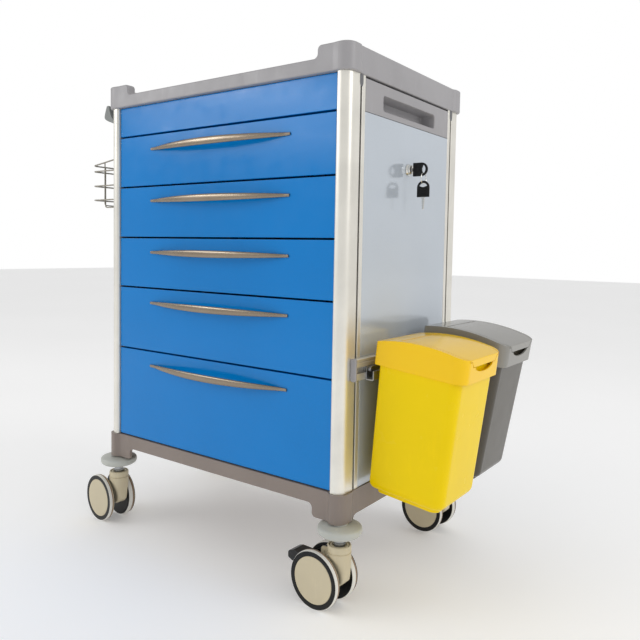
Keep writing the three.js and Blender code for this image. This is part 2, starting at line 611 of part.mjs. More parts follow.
// Wire basket: horizontal rings, a raised front and rear edge, and U-shaped uprights.
function wireBasket() {
  const { outer, inner, y0, y1, bottom, rings, tip, rise } = BASKET;
  const h = WIRE / 2;
  const wireX = (x0, x1, y, z) => box(x0 - h, x1 + h, y - h, y + h, z - h, z + h);
  const wireY = (x, from, to, z) => box(x - h, x + h, from - h, to + h, z - h, z + h);
  const wireZ = (x, y, z0, z1) => box(x - h, x + h, y - h, y + h, z0 - h, z1 + h);
  const parts = [];
  for (const z of rings) {
    for (const y of [y0, y1]) parts.push(wireX(outer, inner, y, z));
    for (const x of [outer, inner]) parts.push(wireY(x, y0, y1, z));
  }
  parts.push(wireY(outer, y0, y1, tip));
  parts.push(wireY(inner, y0, y1, rise));
  const slope = [[outer - h, tip - h], [inner + h, rise - h], [inner + h, rise + h], [outer - h, tip + h]];
  parts.push(prismY(slope, y0 - h, y0 + h), prismY(slope, y1 - h, y1 + h));
  const across = [-380, -346];
  const along = [0, 1, 2, 3, 4].map((i) => y0 + 30 + ((y1 - y0 - 60) * i) / 4);
  const inset = 4;
  for (const y of along) {
    parts.push(wireZ(outer + inset, y, bottom, tip - h), wireZ(inner, y, bottom, rise - h));
    parts.push(wireX(outer + inset, inner, y, bottom));
    for (const z of [...rings, tip]) parts.push(wireX(outer, outer + inset, y, z));
  }
  for (const x of across) {
    const top = tip + ((rise - tip) * (x - outer)) / (inner - outer);
    const low = bottom + 0.6 * WIRE;
    parts.push(wireZ(x, y0, low, top - WIRE), wireZ(x, y1, low, top - WIRE), wireY(x, y0, y1, low));
  }
  const panel = -BODY.half + 0.4 - GAP;
  const tabs = [y0 + 40, y1 - 40].map((y) => box(panel - 8, panel, y - 9, y + 9, 764, 790));
  return join(...parts, ...tabs);
}

// Casters, each in a frame on the floor under its stem, with +X where the wheels trail.
const turnedAtAxle = (profile, segments) => turnedY(profile, CASTER.trail, CASTER.radius, segments);

function bumper() {
  const { radius, bottom, top } = BUMPER;
  const neck = 14;
  return turnedZ(
    [[0, bottom], [radius - 5, bottom], [radius, bottom + 7], [radius - 1.5, top - 6],
      [radius - 8, top], [neck, top], [neck, BASE.foot - GAP], [0, BASE.foot - GAP]], 0, 0, 20);
}

// Heights and reaches of the fork in the plane across the wheels; the leg is cut by the wheels' room.
const FORK = { head: 20.5, bottom: 95, top: 112, neck: 11, web: 11.5, boss: 13, ear: 3 };
const LEG = { heel: 47, toe: 41, knee: 76 };
const PEDAL = { x: 27, z: 96, hub: 4.8, half: 5.4, plateFrom: 62, plateHalf: 14, tip: 106 };

function casterFork(braked) {
  const { head, bottom, top, neck, web, boss, ear } = FORK;
  const { trail, radius, axle, faceOut } = CASTER;
  const stem = [[neck, top], [neck, BUMPER.bottom - GAP], [0, BUMPER.bottom - GAP]];
  const crown = turnedZ([[0, bottom], [head, bottom], [head, top - 2], [head - 2, top], ...stem], 0, 0, 24);
  const side = [
    [-head + 1, bottom + 1],
    [-head + 1, LEG.heel],
    [-10, LEG.toe],
    [trail, radius - boss],
    [trail + boss, radius],
    [trail + 2, LEG.knee],
    [head - 3, bottom + 1],
  ];
  const half = [[web, LEG.toe], [web, 52], [12, 60], [13.5, 70], [16.5, 80], [19, 88], [head - 1, bottom + 1]];
  const across = [...half, ...half.map(([y, z]) => [-y, z]).reverse()];
  const shoulder = prismX(across, -head + 1.2, 12);
  const reach = faceOut + 1;
  const clear = CASTER.faceIn - 1;
  const wheelRoom = [[clear, reach], [-reach, -clear]].map((span) =>
    turnedAtAxle(rod(radius + 1.2, ...span), 24),
  );
  const bore = turnedAtAxle(rod(axle + GAP, -20, 20), 20);
  const solid = cut(join(crown, prismY(side, -web, web), shoulder), ...wheelRoom, bore);
  if (!braked) return solid;
  const { x, z, hub } = PEDAL;
  const inside = PEDAL.half + 0.6;
  const plate = [[12, z - 9], [x + 4, z - 9], [x + 6, z], [x + 4, z + 6], [12, z + 6]];
  const pin = turnedY(rod(hub / 2, -inside - 1, inside + 1), x, z, 12);
  const room = turnedY(rod(hub + 1, -inside, inside), x, z, 16);
  const ears = [prismY(plate, inside, inside + ear), prismY(plate, -inside - ear, -inside)];
  return join(cut(solid, room), ...ears, pin);
}

function wheelset() {
  const { radius, faceIn, faceOut, axle } = CASTER;
  const tyre = [[radius - 3, faceIn], [radius, faceIn + 3], [radius, faceOut - 6]];
  const half = [[axle, faceIn], ...tyre, [radius - 2, faceOut - 1.5], [radius - 4, faceOut]];
  const profile = [[0, -faceOut], ...half.map(([r, y]) => [r, -y]).reverse(), ...half, [0, faceOut]];
  return turnedAtAxle(profile, 24);
}

// Brake pedal: a rounded paddle behind the wheels, on an arm that runs between them to its pivot.
function brakePedal() {
  const { x, z, hub, half, plateFrom, plateHalf, tip } = PEDAL;
  const profile = [
    [x - 3, z - 4],
    [plateFrom - 4, 66],
    [93, 58],
    [103, 62],
    [tip, 68],
    [101, 75],
    [92, 78],
    [plateFrom, 78],
    [x + 3, z + 4],
  ];
  const arm = prismY(profile, -half, half);
  const plan = roundedRect(plateFrom, tip, -plateHalf, plateHalf, 4.5);
  const paddle = prismY(profile, -plateHalf, plateHalf).intersect(prismZ(plan, 50, 90, 3));
  const eye = turnedY(rod(hub, -half, half), x, z, 16);
  const bore = turnedY(rod(hub / 2 + GAP, -half - 1, half + 1), x, z, 12);
  return cut(join(paddle, arm, eye), bore);
}

// Assembly.
const trolley = new THREE.Group();

trolley.add(
  piece("top_surround", topSurround(), GREY_ABS),
  piece("base_tray", baseTray(), BASE_ABS),
  piece("side_panel_right", sidePanel(), SILVER_ENAMEL),
  piece("side_panel_left", leftSidePanel(), SILVER_ENAMEL),
  piece("back_panel", backPanel(), SILVER_ENAMEL),
  piece("grip_panel_right", gripPanel(), GREY_ABS),
  piece("push_handle_left", pushHandle(), GREY_ABS),
  piece("top_fascia", topFascia(), BLUE_ENAMEL),
  piece("runner_frame_right", guidedRunnerFrame(), ZINC),
  piece("runner_frame_left", mirrored(runnerFrame(), true, false), ZINC),
);

for (const [end, flipY] of [["front", false], ["rear", true]])
  for (const [side, flipX] of [["right", false], ["left", true]])
    trolley.add(piece(`column_${end}_${side}`, mirrored(column(), flipX, flipY), ANODISED));

drawers.forEach((drawer, i) => {
  const group = new THREE.Group();
  group.add(
    piece(`drawer_${i + 1}_front`, frontTray(drawer.z0, drawer.z1), BLUE_ENAMEL),
    piece(`drawer_${i + 1}_tray`, drawerTray(drawer), ZINC),
    piece(`drawer_${i + 1}_handle`, drawerHandle(drawer.handle), NICKEL),
  );
  trolley.add(group);
});

trolley.add(
  piece("lock_barrel", lockBarrel(), CHROME),
  piece("lock_cam", lockCam(), ZINC),
  piece("lock_bar", lockBar(), ZINC),
);
const key = piece("lock_key", lockKey(), BLACK_PLASTIC);
key.position.set(0, LOCK.y, LOCK.z);
const ring = piece("key_ring", keyRing(), CHROME);
ring.position.set(eyeX, LOCK.y, ringZ);
const spare = piece("spare_key", keyShape(23, -KEY.bowLong + KEY.rim / 2), BLACK_PLASTIC);
spare.position.set(eyeX, LOCK.y, sparePivotZ);
spare.rotation.y = -Math.PI / 2;
trolley.add(key, ring, spare);

trolley.add(
  piece("side_rail", sideRail(), ANODISED),
  piece("rail_cap_front", railCap(RAIL.y0 - RAIL.cap - GAP), BUMPER_GREY),
  piece("rail_cap_rear", railCap(RAIL.y1 + GAP), BUMPER_GREY),
  piece("bin_carrier", binCarrier(), ZINC),
  piece("wire_basket", wireBasket(), WIRE_STEEL),
);

const binMaterial = { yellow: YELLOW, grey: BIN_GREY };
for (const { name, x, y, z, tilt, hook } of BINS) {
  const bin = new THREE.Group();
  bin.add(
    piece(`${name}_bin_body`, binBody(hook), binMaterial[name]),
    piece(`${name}_bin_collar`, binCollar(), binMaterial[name]),
    piece(`${name}_bin_flap`, binFlap(), binMaterial[name]),
  );
  bin.position.set(x, y, z);
  bin.rotation.y = THREE.MathUtils.degToRad(tilt);
  trolley.add(bin);
}

// Each caster's corner, the direction in which its wheels trail, and whether it has a brake.
const casters = [
  ["front_right", 1, false, 177, true],
  ["front_left", -1, false, 173.6, false],
  ["rear_right", 1, true, 174.5, false],
  ["rear_left", -1, true, 171, true],
];
for (const [corner, side, rear, trailing, braked] of casters) {
  const place = new THREE.Group();
  place.position.set(side * CASTER.x, rear ? BODY.depth - CASTER.inset : CASTER.inset, 0);
  const swivel = new THREE.Group();
  swivel.rotation.z = THREE.MathUtils.degToRad(trailing);
  swivel.add(
    piece(`caster_fork_${corner}`, casterFork(braked), CREAM),
    piece(`wheelset_${corner}`, wheelset(), TYRE),
  );
  if (braked) swivel.add(piece(`brake_pedal_${corner}`, brakePedal(), BLACK_PLASTIC));
  place.add(piece(`bumper_${corner}`, bumper(), BUMPER_GREY), swivel);
  trolley.add(place);
}

// The origin is the middle of the whole outline on the floor.
const { min, max } = new THREE.Box3().setFromObject(trolley);
trolley.position.set(-(min.x + max.x) / 2, -(min.y + max.y) / 2, -min.z);

const part = new THREE.Group();
part.add(trolley);

export default part;
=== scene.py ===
"""Looks of a wheeled ward trolley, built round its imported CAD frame.

Lengths in the part tables are millimetres in the trolley's own frame: x across from the
middle of the drawer fronts, y back from their faces, z up from the floor.
"""

import math

import bmesh
import bpy
from mathutils import Matrix, Vector


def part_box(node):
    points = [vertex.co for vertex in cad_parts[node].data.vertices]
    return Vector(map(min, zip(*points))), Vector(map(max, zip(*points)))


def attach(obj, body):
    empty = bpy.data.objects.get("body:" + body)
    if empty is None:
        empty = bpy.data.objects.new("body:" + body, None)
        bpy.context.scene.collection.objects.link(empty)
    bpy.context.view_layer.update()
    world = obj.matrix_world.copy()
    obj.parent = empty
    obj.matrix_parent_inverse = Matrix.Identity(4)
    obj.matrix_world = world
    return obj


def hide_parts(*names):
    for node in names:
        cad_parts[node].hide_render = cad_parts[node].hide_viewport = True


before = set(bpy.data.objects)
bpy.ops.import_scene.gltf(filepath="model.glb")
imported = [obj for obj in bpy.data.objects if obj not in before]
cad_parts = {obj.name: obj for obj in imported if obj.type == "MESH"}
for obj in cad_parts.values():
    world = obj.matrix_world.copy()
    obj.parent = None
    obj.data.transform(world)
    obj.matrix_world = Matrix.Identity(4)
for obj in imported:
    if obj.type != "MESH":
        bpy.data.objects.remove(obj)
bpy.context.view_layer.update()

MM = 0.001
SHARP = math.radians(34)  # edges that turn more than this stay crisp


# ---------------------------------------------------------------- frame
front_low, front_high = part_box("drawer_1_front")
ORIGIN = Vector(((front_low.x + front_high.x) / 2, front_low.y, 0))
TO_ROW = Matrix.Translation(ORIGIN) @ Matrix.Scale(MM, 4)


def move(x=0, y=0, z=0):
    return Matrix.Translation((x, y, z))


def turn(degrees, axis):
    return Matrix.Rotation(math.radians(degrees), 4, axis)


def flip(x=1, y=1):
    return Matrix.Diagonal((x, y, 1, 1))


# ---------------------------------------------------------------- mesh code
def outline(corners, steps=6):
    """Points along a closed outline whose corners (u, v, radius) are rounded, outwards or inwards."""
    points = []
    for i, (u, v, radius) in enumerate(corners):
        here = Vector((u, v))
        if radius <= 0:
            points.append((u, v))
            continue
        back = (Vector(corners[i - 1][:2]) - here).normalized()
        ahead = (Vector(corners[(i + 1) % len(corners)][:2]) - here).normalized()
        half = back.angle(ahead) / 2
        centre = here + (back + ahead).normalized() * (radius / math.sin(half))
        first = here + back * (radius / math.tan(half)) - centre
        last = here + ahead * (radius / math.tan(half)) - centre
        start = math.atan2(first.y, first.x)
        sweep = (math.atan2(last.y, last.x) - start + math.pi) % (2 * math.pi) - math.pi
        for k in range(steps + 1):
            angle = start + sweep * k / steps
            points.append((centre.x + radius * math.cos(angle), centre.y + radius * math.sin(angle)))
    return points


def rounded(u0, u1, v0, v1, radius, steps=6):
    return outline([(u0, v0, radius), (u1, v0, radius), (u1, v1, radius), (u0, v1, radius)], steps)


def bezier(p0, p1, p2, p3, steps=10):
    """Points on a cubic curve, without its first one."""
    made = []
    for k in range(1, steps + 1):
        t = k / steps
        s = 1 - t
        weights = (s**3, 3 * s * s * t, 3 * s * t * t, t**3)
        made.append(tuple(sum(w * p[i] for w, p in zip(weights, (p0, p1, p2, p3))) for i in (0, 1)))
    return made


def tidy(bm):
    bmesh.ops.recalc_face_normals(bm, faces=bm.faces)
    return bm


def loft(loops, closed=False):
    """A skin over loops of equally many points, capped at both ends unless it closes on itself."""
    bm = bmesh.new()
    rings = [[bm.verts.new(p) for p in loop] for loop in loops]
    pairs = list(zip(rings, rings[1:]))
    if closed:
        pairs.append((rings[-1], rings[0]))
    for a, b in pairs:
        for i in range(len(a)):
            j = (i + 1) % len(a)
            bm.faces.new((a[i], a[j], b[j], b[i]))
    if not closed:
        bm.faces.new(rings[0])
        bm.faces.new(rings[-1])
    return tidy(bm)


def prism(points, axis, low, high):
    """An outline in the two other axes, in the order of their names, run along axis."""
    place_at = {
        "x": lambda u, v, w: (w, u, v),
        "y": lambda u, v, w: (u, w, v),
        "z": lambda u, v, w: (u, v, w),
    }[axis]
    return loft([[place_at(u, v, w) for u, v in points] for w in (low, high)])


def block(x0, x1, y0, y1, z0, z1):
    return prism([(x0, y0), (x1, y0), (x1, y1), (x0, y1)], "z", z0, z1)


def lathe(profile, axis="z", centre=(0, 0, 0), steps=48):
    """(radius, height) points turned about an axis, from axis to axis, or closed on themselves."""
    bm = bmesh.new()
    spin = {"z": (0, 1, 2), "y": (0, 2, 1), "x": (2, 1, 0)}[axis]
    rings = []
    for radius, height in profile:
        count = 1 if radius < 1e-6 else steps
        ring = []
        for k in range(count):
            angle = 2 * math.pi * k / steps
            local = (radius * math.cos(angle), radius * math.sin(angle), height)
            ring.append(bm.verts.new([local[spin[i]] + centre[i] for i in range(3)]))
        rings.append(ring)
    pairs = list(zip(rings, rings[1:]))
    if len(rings[0]) > 1:
        pairs.append((rings[-1], rings[0]))
    for a, b in pairs:
        for k in range(steps):
            n = (k + 1) % steps
            corners = [a[k % len(a)], a[n % len(a)], b[n % len(b)], b[k % len(b)]]
            unique = list(dict.fromkeys(corners))
            if len(unique) > 2:
                bm.faces.new(unique)
    return tidy(bm)


def tube(path, radius, sides=10, closed=False):
    """A round wire along a path, with flat ends unless the path closes."""
    points = [Vector(p) for p in path]
    count = len(points)
    tangents = []
    for i in range(count):
        if closed:
            tangents.append((points[(i + 1) % count] - points[i - 1]).normalized())
        else:
            tangents.append((points[min(i + 1, count - 1)] - points[max(i - 1, 0)]).normalized())
    side = tangents[0].orthogonal().normalized()
    loops = []
    for i, tangent in enumerate(tangents):
        if i:
            side = tangents[i - 1].rotation_difference(tangent) @ side
        side = (side - tangent * side.dot(tangent)).normalized()
        up = tangent.cross(side)
        ring = []
        for k in range(sides):
            angle = 2 * math.pi * k / sides
            ring.append(points[i] + radius * (math.cos(angle) * side + math.sin(angle) * up))
        loops.append(ring)
    return loft(loops, closed)


def bent(points, radius, steps=4):
    """A path in space through points, with each inner corner rounded."""
    made = [Vector(points[0])]
    for before, here, after in zip(points, points[1:], points[2:]):
        p = Vector(here)
        a = (Vector(before) - p).normalized()
        b = (Vector(after) - p).normalized()
        for k in range(steps + 1):
            t = k / steps
            made.append(p + a * radius * (1 - t) ** 2 + b * radius * t**2)
    made.append(Vector(points[-1]))
    return made


def joined(*solids):
    """Several separate shells in one mesh."""
    whole = bmesh.new()
    for solid in solids:
        mesh = bpy.data.meshes.new("part")
        solid.to_mesh(mesh)
        whole.from_mesh(mesh)
        bpy.data.meshes.remove(mesh)
    return whole


def turned(solid, matrix):
    solid.transform(matrix)
    return tidy(solid)


def combine(base, tools, operation):
    """Boolean of base with each tool in turn."""

    def as_object(bm):
        mesh = bpy.data.meshes.new("tool")
        bm.to_mesh(mesh)
        made = bpy.data.objects.new("tool", mesh)
        bpy.context.scene.collection.objects.link(made)
        return made

    held = [as_object(base)] + [as_object(tool) for tool in tools]
    for tool in held[1:]:
        modifier = held[0].modifiers.new("boolean", "BOOLEAN")
        modifier.solver = "EXACT"
        modifier.operation = operation
        modifier.object = tool
    depsgraph = bpy.context.evaluated_depsgraph_get()
    mesh = bpy.data.meshes.new_from_object(held[0].evaluated_get(depsgraph))
    result = bmesh.new()
    result.from_mesh(mesh)
    for item in held:
        data = item.data
        bpy.data.objects.remove(item)
        bpy.data.meshes.remove(data)
    bpy.data.meshes.remove(mesh)
    bmesh.ops.remove_doubles(result, verts=result.verts, dist=1e-4)
    bmesh.ops.dissolve_limit(result, angle_limit=math.radians(0.3), verts=result.verts, edges=result.edges)
    return tidy(result)


def carve(base, *tools):
    return combine(base, tools, "DIFFERENCE")


def fuse(base, *tools):
    return combine(base, tools, "UNION")


def common(base, *tools):
    return combine(base, tools, "INTERSECT")


def soften(bm, width, segments=3, angle=34, keep=None):
    """Rounds the crisp edges of a solid, or those that keep picks by their middle."""
    chosen = []
    for edge in bm.edges:
        if len(edge.link_faces) != 2 or edge.calc_face_angle(0) < math.radians(angle):
            continue
        if keep is None or keep((edge.verts[0].co + edge.verts[1].co) / 2):
            chosen.append(edge)
    bmesh.ops.bevel(
        bm,
        geom=chosen,
        offset=width,
        segments=segments,
        profile=0.5,
        affect="EDGES",
        clamp_overlap=True,
        miter_outer="ARC" if segments > 1 else "SHARP",
    )
    return tidy(bm)


def place(name, solid, body, paint, matrix=None, replaces=(), smooth=SHARP):
    """Makes a piece of a solid, in the trolley's frame or in the frame that matrix gives."""
    solid.transform(TO_ROW @ (matrix or Matrix.Identity(4)))
    tidy(solid)
    mesh = bpy.data.meshes.new(name)
    solid.to_mesh(mesh)
    solid.free()
    mesh.materials.append(paint)
    mesh.polygons.foreach_set("use_smooth", [True] * len(mesh.polygons))
    mesh.set_sharp_from_angle(angle=smooth)
    made = bpy.data.objects.new(name, mesh)
    bpy.context.scene.collection.objects.link(made)
    weighted = made.modifiers.new("even shading", "WEIGHTED_NORMAL")
    weighted.keep_sharp = True
    weighted.weight = 80
    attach(made, body)
    if replaces:
        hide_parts(*([replaces] if isinstance(replaces, str) else replaces))
    return made


def dress(node, paint, width=0.8, segments=2):
    """Keeps a CAD node, merges its facets into whole faces, softens its edges and paints it."""
    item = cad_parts[node]
    mesh = item.data
    mesh.materials.clear()
    mesh.materials.append(paint)
    if "custom_normal" in mesh.attributes:
        mesh.attributes.remove(mesh.attributes["custom_normal"])
    mesh.polygons.foreach_set("use_smooth", [True] * len(mesh.polygons))
    weld = item.modifiers.new("weld", "WELD")
    weld.merge_threshold = 0.02 * MM
    flat = item.modifiers.new("whole faces", "DECIMATE")
    flat.decimate_type = "DISSOLVE"
    flat.angle_limit = math.radians(1)
    bevel = item.modifiers.new("soft edges", "BEVEL")
    bevel.width = width * MM
    bevel.segments = segments
    bevel.limit_method = "ANGLE"
    bevel.angle_limit = math.radians(40)
    bevel.harden_normals = True
    return item


# ---------------------------------------------------------------- materials
def colour(red, green, blue):
    """Screen values from 0 to 255 as a linear colour."""

    def linear(value):
        value /= 255
        return value / 12.92 if value <= 0.04045 else ((value + 0.055) / 1.055) ** 2.4

    return (linear(red), linear(green), linear(blue), 1)


class Paint:
    """A principled material and short ways to add nodes to it."""

    def __init__(self, name, **values):
        self.material = bpy.data.materials.new(name)
        self.material.use_nodes = True
        self.nodes = self.material.node_tree.nodes
        self.links = self.material.node_tree.links
        self.shader = self.nodes["Principled BSDF"]
        for socket, value in values.items():
            self.shader.inputs[socket.replace("_", " ")].default_value = value
        self.where = self.nodes.new("ShaderNodeTexCoord").outputs["Object"]

    def stretched(self, scale):
        node = self.nodes.new("ShaderNodeMapping")
        node.inputs["Scale"].default_value = scale
        self.links.new(self.where, node.inputs["Vector"])
        return node.outputs["Vector"]

    def noise(self, scale, detail=3, roughness=0.5, stretch=None, distortion=0):
        node = self.nodes.new("ShaderNodeTexNoise")
        node.inputs["Scale"].default_value = scale
        node.inputs["Detail"].default_value = detail
        node.inputs["Roughness"].default_value = roughness
        node.inputs["Distortion"].default_value = distortion
        source = self.stretched(stretch) if stretch else self.where
        self.links.new(source, node.inputs["Vector"])
        return node.outputs["Fac"]

    def remap(self, value, low, high, start=0.3, end=0.7):
        node = self.nodes.new("ShaderNodeMapRange")
        self.links.new(value, node.inputs["Value"])
        for socket, number in (("From Min", start), ("From Max", end), ("To Min", low), ("To Max", high)):
            node.inputs[socket].default_value = number
        return node.outputs["Result"]

    def mix(self, factor, first, second):
        node = self.nodes.new("ShaderNodeMix")
        node.data_type = "RGBA"
        self.links.new(factor, node.inputs["Factor"])
        for socket, value in ((6, first), (7, second)):
            if isinstance(value, tuple):
                node.inputs[socket].default_value = value
            else:
                self.links.new(value, node.inputs[socket])
        return node.outputs[2]

    def set(self, socket, value):
        self.links.new(value, self.shader.inputs[socket])

    def bump(self, *layers):
        """Layers of (height, strength, depth in millimetres), the first one the coarsest."""
        last = None
        for height, strength, depth in layers:
            node = self.nodes.new("ShaderNodeBump")
            node.inputs["Strength"].default_value = strength
            node.inputs["Distance"].default_value = depth * MM
            self.links.new(height, node.inputs["Height"])
            if last:
                self.links.new(last, node.inputs["Normal"])
            last = node.outputs["Normal"]
        self.set("Normal", last)


def shade(tint, amount):
    return tuple(min(1, part * amount) for part in tint[:3]) + (1,)


def moulded(name, tint, rough=0.45, grain=0.03, grain_scale=1400, wear=0.06, waves=0.2, **values):
    """Injection moulded plastic: cloudy tone, a fine grain, faint scuffs."""
    paint = Paint(name, **values)
    cloud = paint.remap(paint.noise(9, 4), 0, 1)
    scuff = paint.remap(paint.noise(60, 6, 0.7, stretch=(1, 1, 0.25)), 0, 1, 0.56, 0.72)
    tone = paint.mix(cloud, shade(tint, 1 - wear), shade(tint, 1 + wear))
    paint.set("Base Color", paint.mix(scuff, tone, shade(tint, 1 + 2 * wear)))
    paint.set("Roughness", paint.remap(paint.noise(35, 5), rough - 0.06, rough + 0.07))
    paint.bump((paint.noise(11, 2), 0.05, waves), (paint.noise(grain_scale, 2), 0.4, grain))
    return paint.material


def enamel(name, tint, rough=0.12, peel=0.02, **values):
    """Sprayed enamel on sheet steel: orange peel under a clear gloss, faint waves in the sheet."""
    paint = Paint(name, **values)
    cloud = paint.remap(paint.noise(5, 3), 0, 1)
    speck = paint.remap(paint.noise(420, 2), 0, 1, 0.45, 0.75)
    tone = paint.mix(cloud, shade(tint, 0.96), shade(tint, 1.04))
    paint.set("Base Color", paint.mix(speck, tone, shade(tint, 1.03)))
    paint.set("Roughness", paint.remap(paint.noise(28, 4), rough - 0.03, rough + 0.05))
    wave = paint.noise(7, 3, 0.55, stretch=(0.5, 1, 2.2), distortion=0.6)
    paint.bump((wave, 0.35, 0.7), (paint.noise(430, 3, 0.6), 0.5, peel))
    return paint.material


def metal(name, tint, rough=0.3, brush=(1, 1, 1), strength=0.15, **values):
    """Bare or plated metal, with fine lines along the direction that brush leaves unstretched."""
    paint = Paint(name, **{"Metallic": 1.0, **values})
    lines = paint.noise(240, 5, 0.65, stretch=brush)
    cloud = paint.remap(paint.noise(14, 4), 0, 1)
    paint.set("Base Color", paint.mix(cloud, shade(tint, 0.92), shade(tint, 1.06)))
    paint.set("Roughness", paint.remap(lines, rough - 0.05, rough + 0.09))
    paint.bump((lines, strength, 0.05),)
    return paint.material


BLUE = enamel("blue_enamel", colour(0, 126, 204), 0.18, 0.015, Specular_IOR_Level=0.3)
SILVER = enamel("silver_enamel", colour(200, 208, 217), 0.14, 0.012, Metallic=0.3, Specular_IOR_Level=0.7)
RIM = moulded("grey_abs", colour(160, 158, 160), 0.4)
BASE = moulded("base_abs", colour(136, 124, 116), 0.36)
COLUMN = metal("anodised_column", colour(238, 235, 226), 0.34, (1, 1, 0.01), 0.1, Metallic=0.7)
PLUG = moulded("plug_grey", colour(104, 105, 108), 0.45)
RAIL = metal("anodised_rail", colour(214, 211, 202), 0.34, (1, 0.01, 1), 0.12, Metallic=0.6)
ZINC = metal("zinc_sheet", colour(176, 178, 180), 0.38, (0.05, 1, 1), 0.1)
NICKEL = metal("satin_nickel", colour(150, 137, 121), 0.26, (0.02, 1, 1), 0.3)
CHROME = metal("chrome", colour(222, 220, 214), 0.1)
WIRE = metal("plated_wire", colour(150, 145, 135), 0.28)
BLACK = moulded("black_plastic", colour(16, 17, 16), 0.35, 0.02, Specular_IOR_Level=0.3)
PEDAL = moulded("black_pedal", colour(10, 12, 12), 0.3, 0.02, 900)
YELLOW = moulded("yellow_plastic", colour(248, 214, 0), 0.22, 0.006, 900, 0.02, Specular_IOR_Level=0.16)
YELLOW_LID = moulded(
    "yellow_lid_plastic", colour(255, 206, 4), 0.13, 0.002, 900, 0.01, 0.03, Specular_IOR_Level=0.35
)
BIN_GREY = moulded("bin_grey", colour(76, 71, 61), 0.2, 0.006, 900, 0.02, Specular_IOR_Level=0.4)
LID_GREY = moulded("lid_grey", colour(142, 140, 134), 0.13, 0.002, 900, 0.01, 0.03)
BUMPER = moulded("bumper_grey", colour(188, 190, 183), 0.36)
CREAM = moulded("cream_plastic", colour(206, 194, 164), 0.34, 0.02, 700, 0.04)
TYRE = moulded("tyre_white", colour(228, 226, 218), 0.5)
TREAD_LINE = moulded("tread_line", colour(134, 104, 80), 0.55)
HANDLE_GREY = moulded("handle_grey", colour(120, 124, 122), 0.42)


# ---------------------------------------------------------------- moulded top and base
EDGE = 245  # half width of the lower middle of the front edge
FILLET = 8
RIM_TOP = 945
HALF = 306  # half width of the cabinet over its columns
DEPTH = 409  # of the cabinet between its front and back faces
FLOOR_Z, CEILING_Z = 199.7, 899.3  # top of the base and underside of the top
STEM_X, STEM_INSET = 296.6, 8.1  # of the caster stems, from the centre plane and from those faces


def moulding(half, front, bulge, corner, waist):
    """Plan of a moulding that swells round the columns and is waisted along its sides."""
    face = front - bulge
    quarter = [
        (277, front, 12),
        (288, face, 10),
        (half, face, corner),
        (half, 22, 7),
        (half - waist, 29, 7),
    ]
    right = quarter + [(x, DEPTH - y, r) for x, y, r in reversed(quarter)]
    return outline(right + [(-x, y, r) for x, y, r in reversed(right)], 10)


def top_surround():
    whole = prism(moulding(312, -10, 1.5, 19, 3.6), "z", CEILING_Z, RIM_TOP)
    well = prism(rounded(-292, 292, 10, DEPTH - 10, 12), "z", 912, RIM_TOP + 5)
    dip = prism(
        outline(
            [
                (-EDGE - 30, RIM_TOP + 20, 0),
                (-EDGE - 30, RIM_TOP, 0),
                (-EDGE, RIM_TOP, FILLET),
                (-EDGE, 924, FILLET),
                (EDGE, 924, FILLET),
                (EDGE, RIM_TOP, FILLET),
                (EDGE + 30, RIM_TOP, 0),
                (EDGE + 30, RIM_TOP + 20, 0),
            ]
        ),
        "y",
        -16,
        15,
    )
    return soften(carve(whole, well, dip), 2.6)


def base_tray():
    half, front, high = 311, -3, FLOOR_Z
    back = DEPTH - front
    skirt, middle, foot, wall = 157, 173, 149.5, 6
    whole = prism(moulding(half, front, 8, 19, 3.2), "z", foot, high)
    edge = half - 3.2 - wall
    inside = prism(rounded(-edge, edge, front + wall, back - wall, 12), "z", foot - 5, 185)
    bottom = foot - 10

    def arch(reach, level):
        return outline(
            [
                (-reach - 30, bottom, 0),
                (reach + 30, bottom, 0),
                (reach + 30, foot, 0),
                (reach, foot, 7),
                (reach, level, 9),
                (-reach, level, 9),
                (-reach, foot, 7),
                (-reach - 30, foot, 0),
            ],
            5,
        )

    front_arch = prism(arch(EDGE, middle), "y", front - 14, front + 30)
    back_arch = prism(arch(EDGE, middle), "y", back - 30, back + 14)
    centre = DEPTH / 2
    side_arch = prism([(u + centre, v) for u, v in arch(centre - 31, skirt)], "x", -half - 5, half + 5)
    shell = carve(whole, front_arch, back_arch, side_arch)
    bosses = [
        lathe([(0, foot + 0.02), (18, foot + 0.02), (18, 186), (0, 186)], "z", (x, y, 0))
        for x in (-STEM_X, STEM_X)
        for y in (STEM_INSET, DEPTH - STEM_INSET)
    ]
    hollow = carve(inside, *bosses)
    return soften(carve(shell, hollow), 2.2)


place("top_surround_look", top_surround(), "cabinet", RIM, replaces="top_surround")
place("base_tray_look", base_tray(), "cabinet", BASE, replaces="base_tray")


# ---------------------------------------------------------------- columns and panels
PANEL_Y = (46.3, 362.7)


def column():
    edge = outline(
        [
            (281.4, 0, 0.6),
            (282.6, -7, 6),
            (HALF, -7, 16),
            (HALF, 30, 0.8),
            (300.2, 30, 0.4),
            (300.2, 35.2, 0.4),
            (HALF, 35.2, 0.8),
            (HALF, 46, 1),
            (281.4, 46, 1),
        ],
        12,
    )
    return prism(edge, "z", FLOOR_Z + 0.2, CEILING_Z - 0.2)


def painted_groove_shade():
    """Black strip in a column's groove: painted shade that darkens the groove."""
    return prism([(300.4, 30.2), (303.4, 30.2), (303.4, 35), (300.4, 35)], "z", 200, 888)


def groove_plug():
    """The drop-shaped plug at the top end of a column's groove, where the black strip of painted shade ends."""
    edge = outline([(27.6, 885, 4.4), (37.6, 885, 4.4), (37.6, 898.8, 0.5), (27.6, 898.8, 0.5)])
    point = [(y, z - max(0, 891 - z)) for y, z in edge]
    return soften(prism(point, "x", 299, 306.7), 0.7)


def quarter(side, rear):
    """Moves a thing made for the front right corner to another corner."""
    return flip(side, 1) if not rear else move(y=DEPTH) @ flip(side, -1)


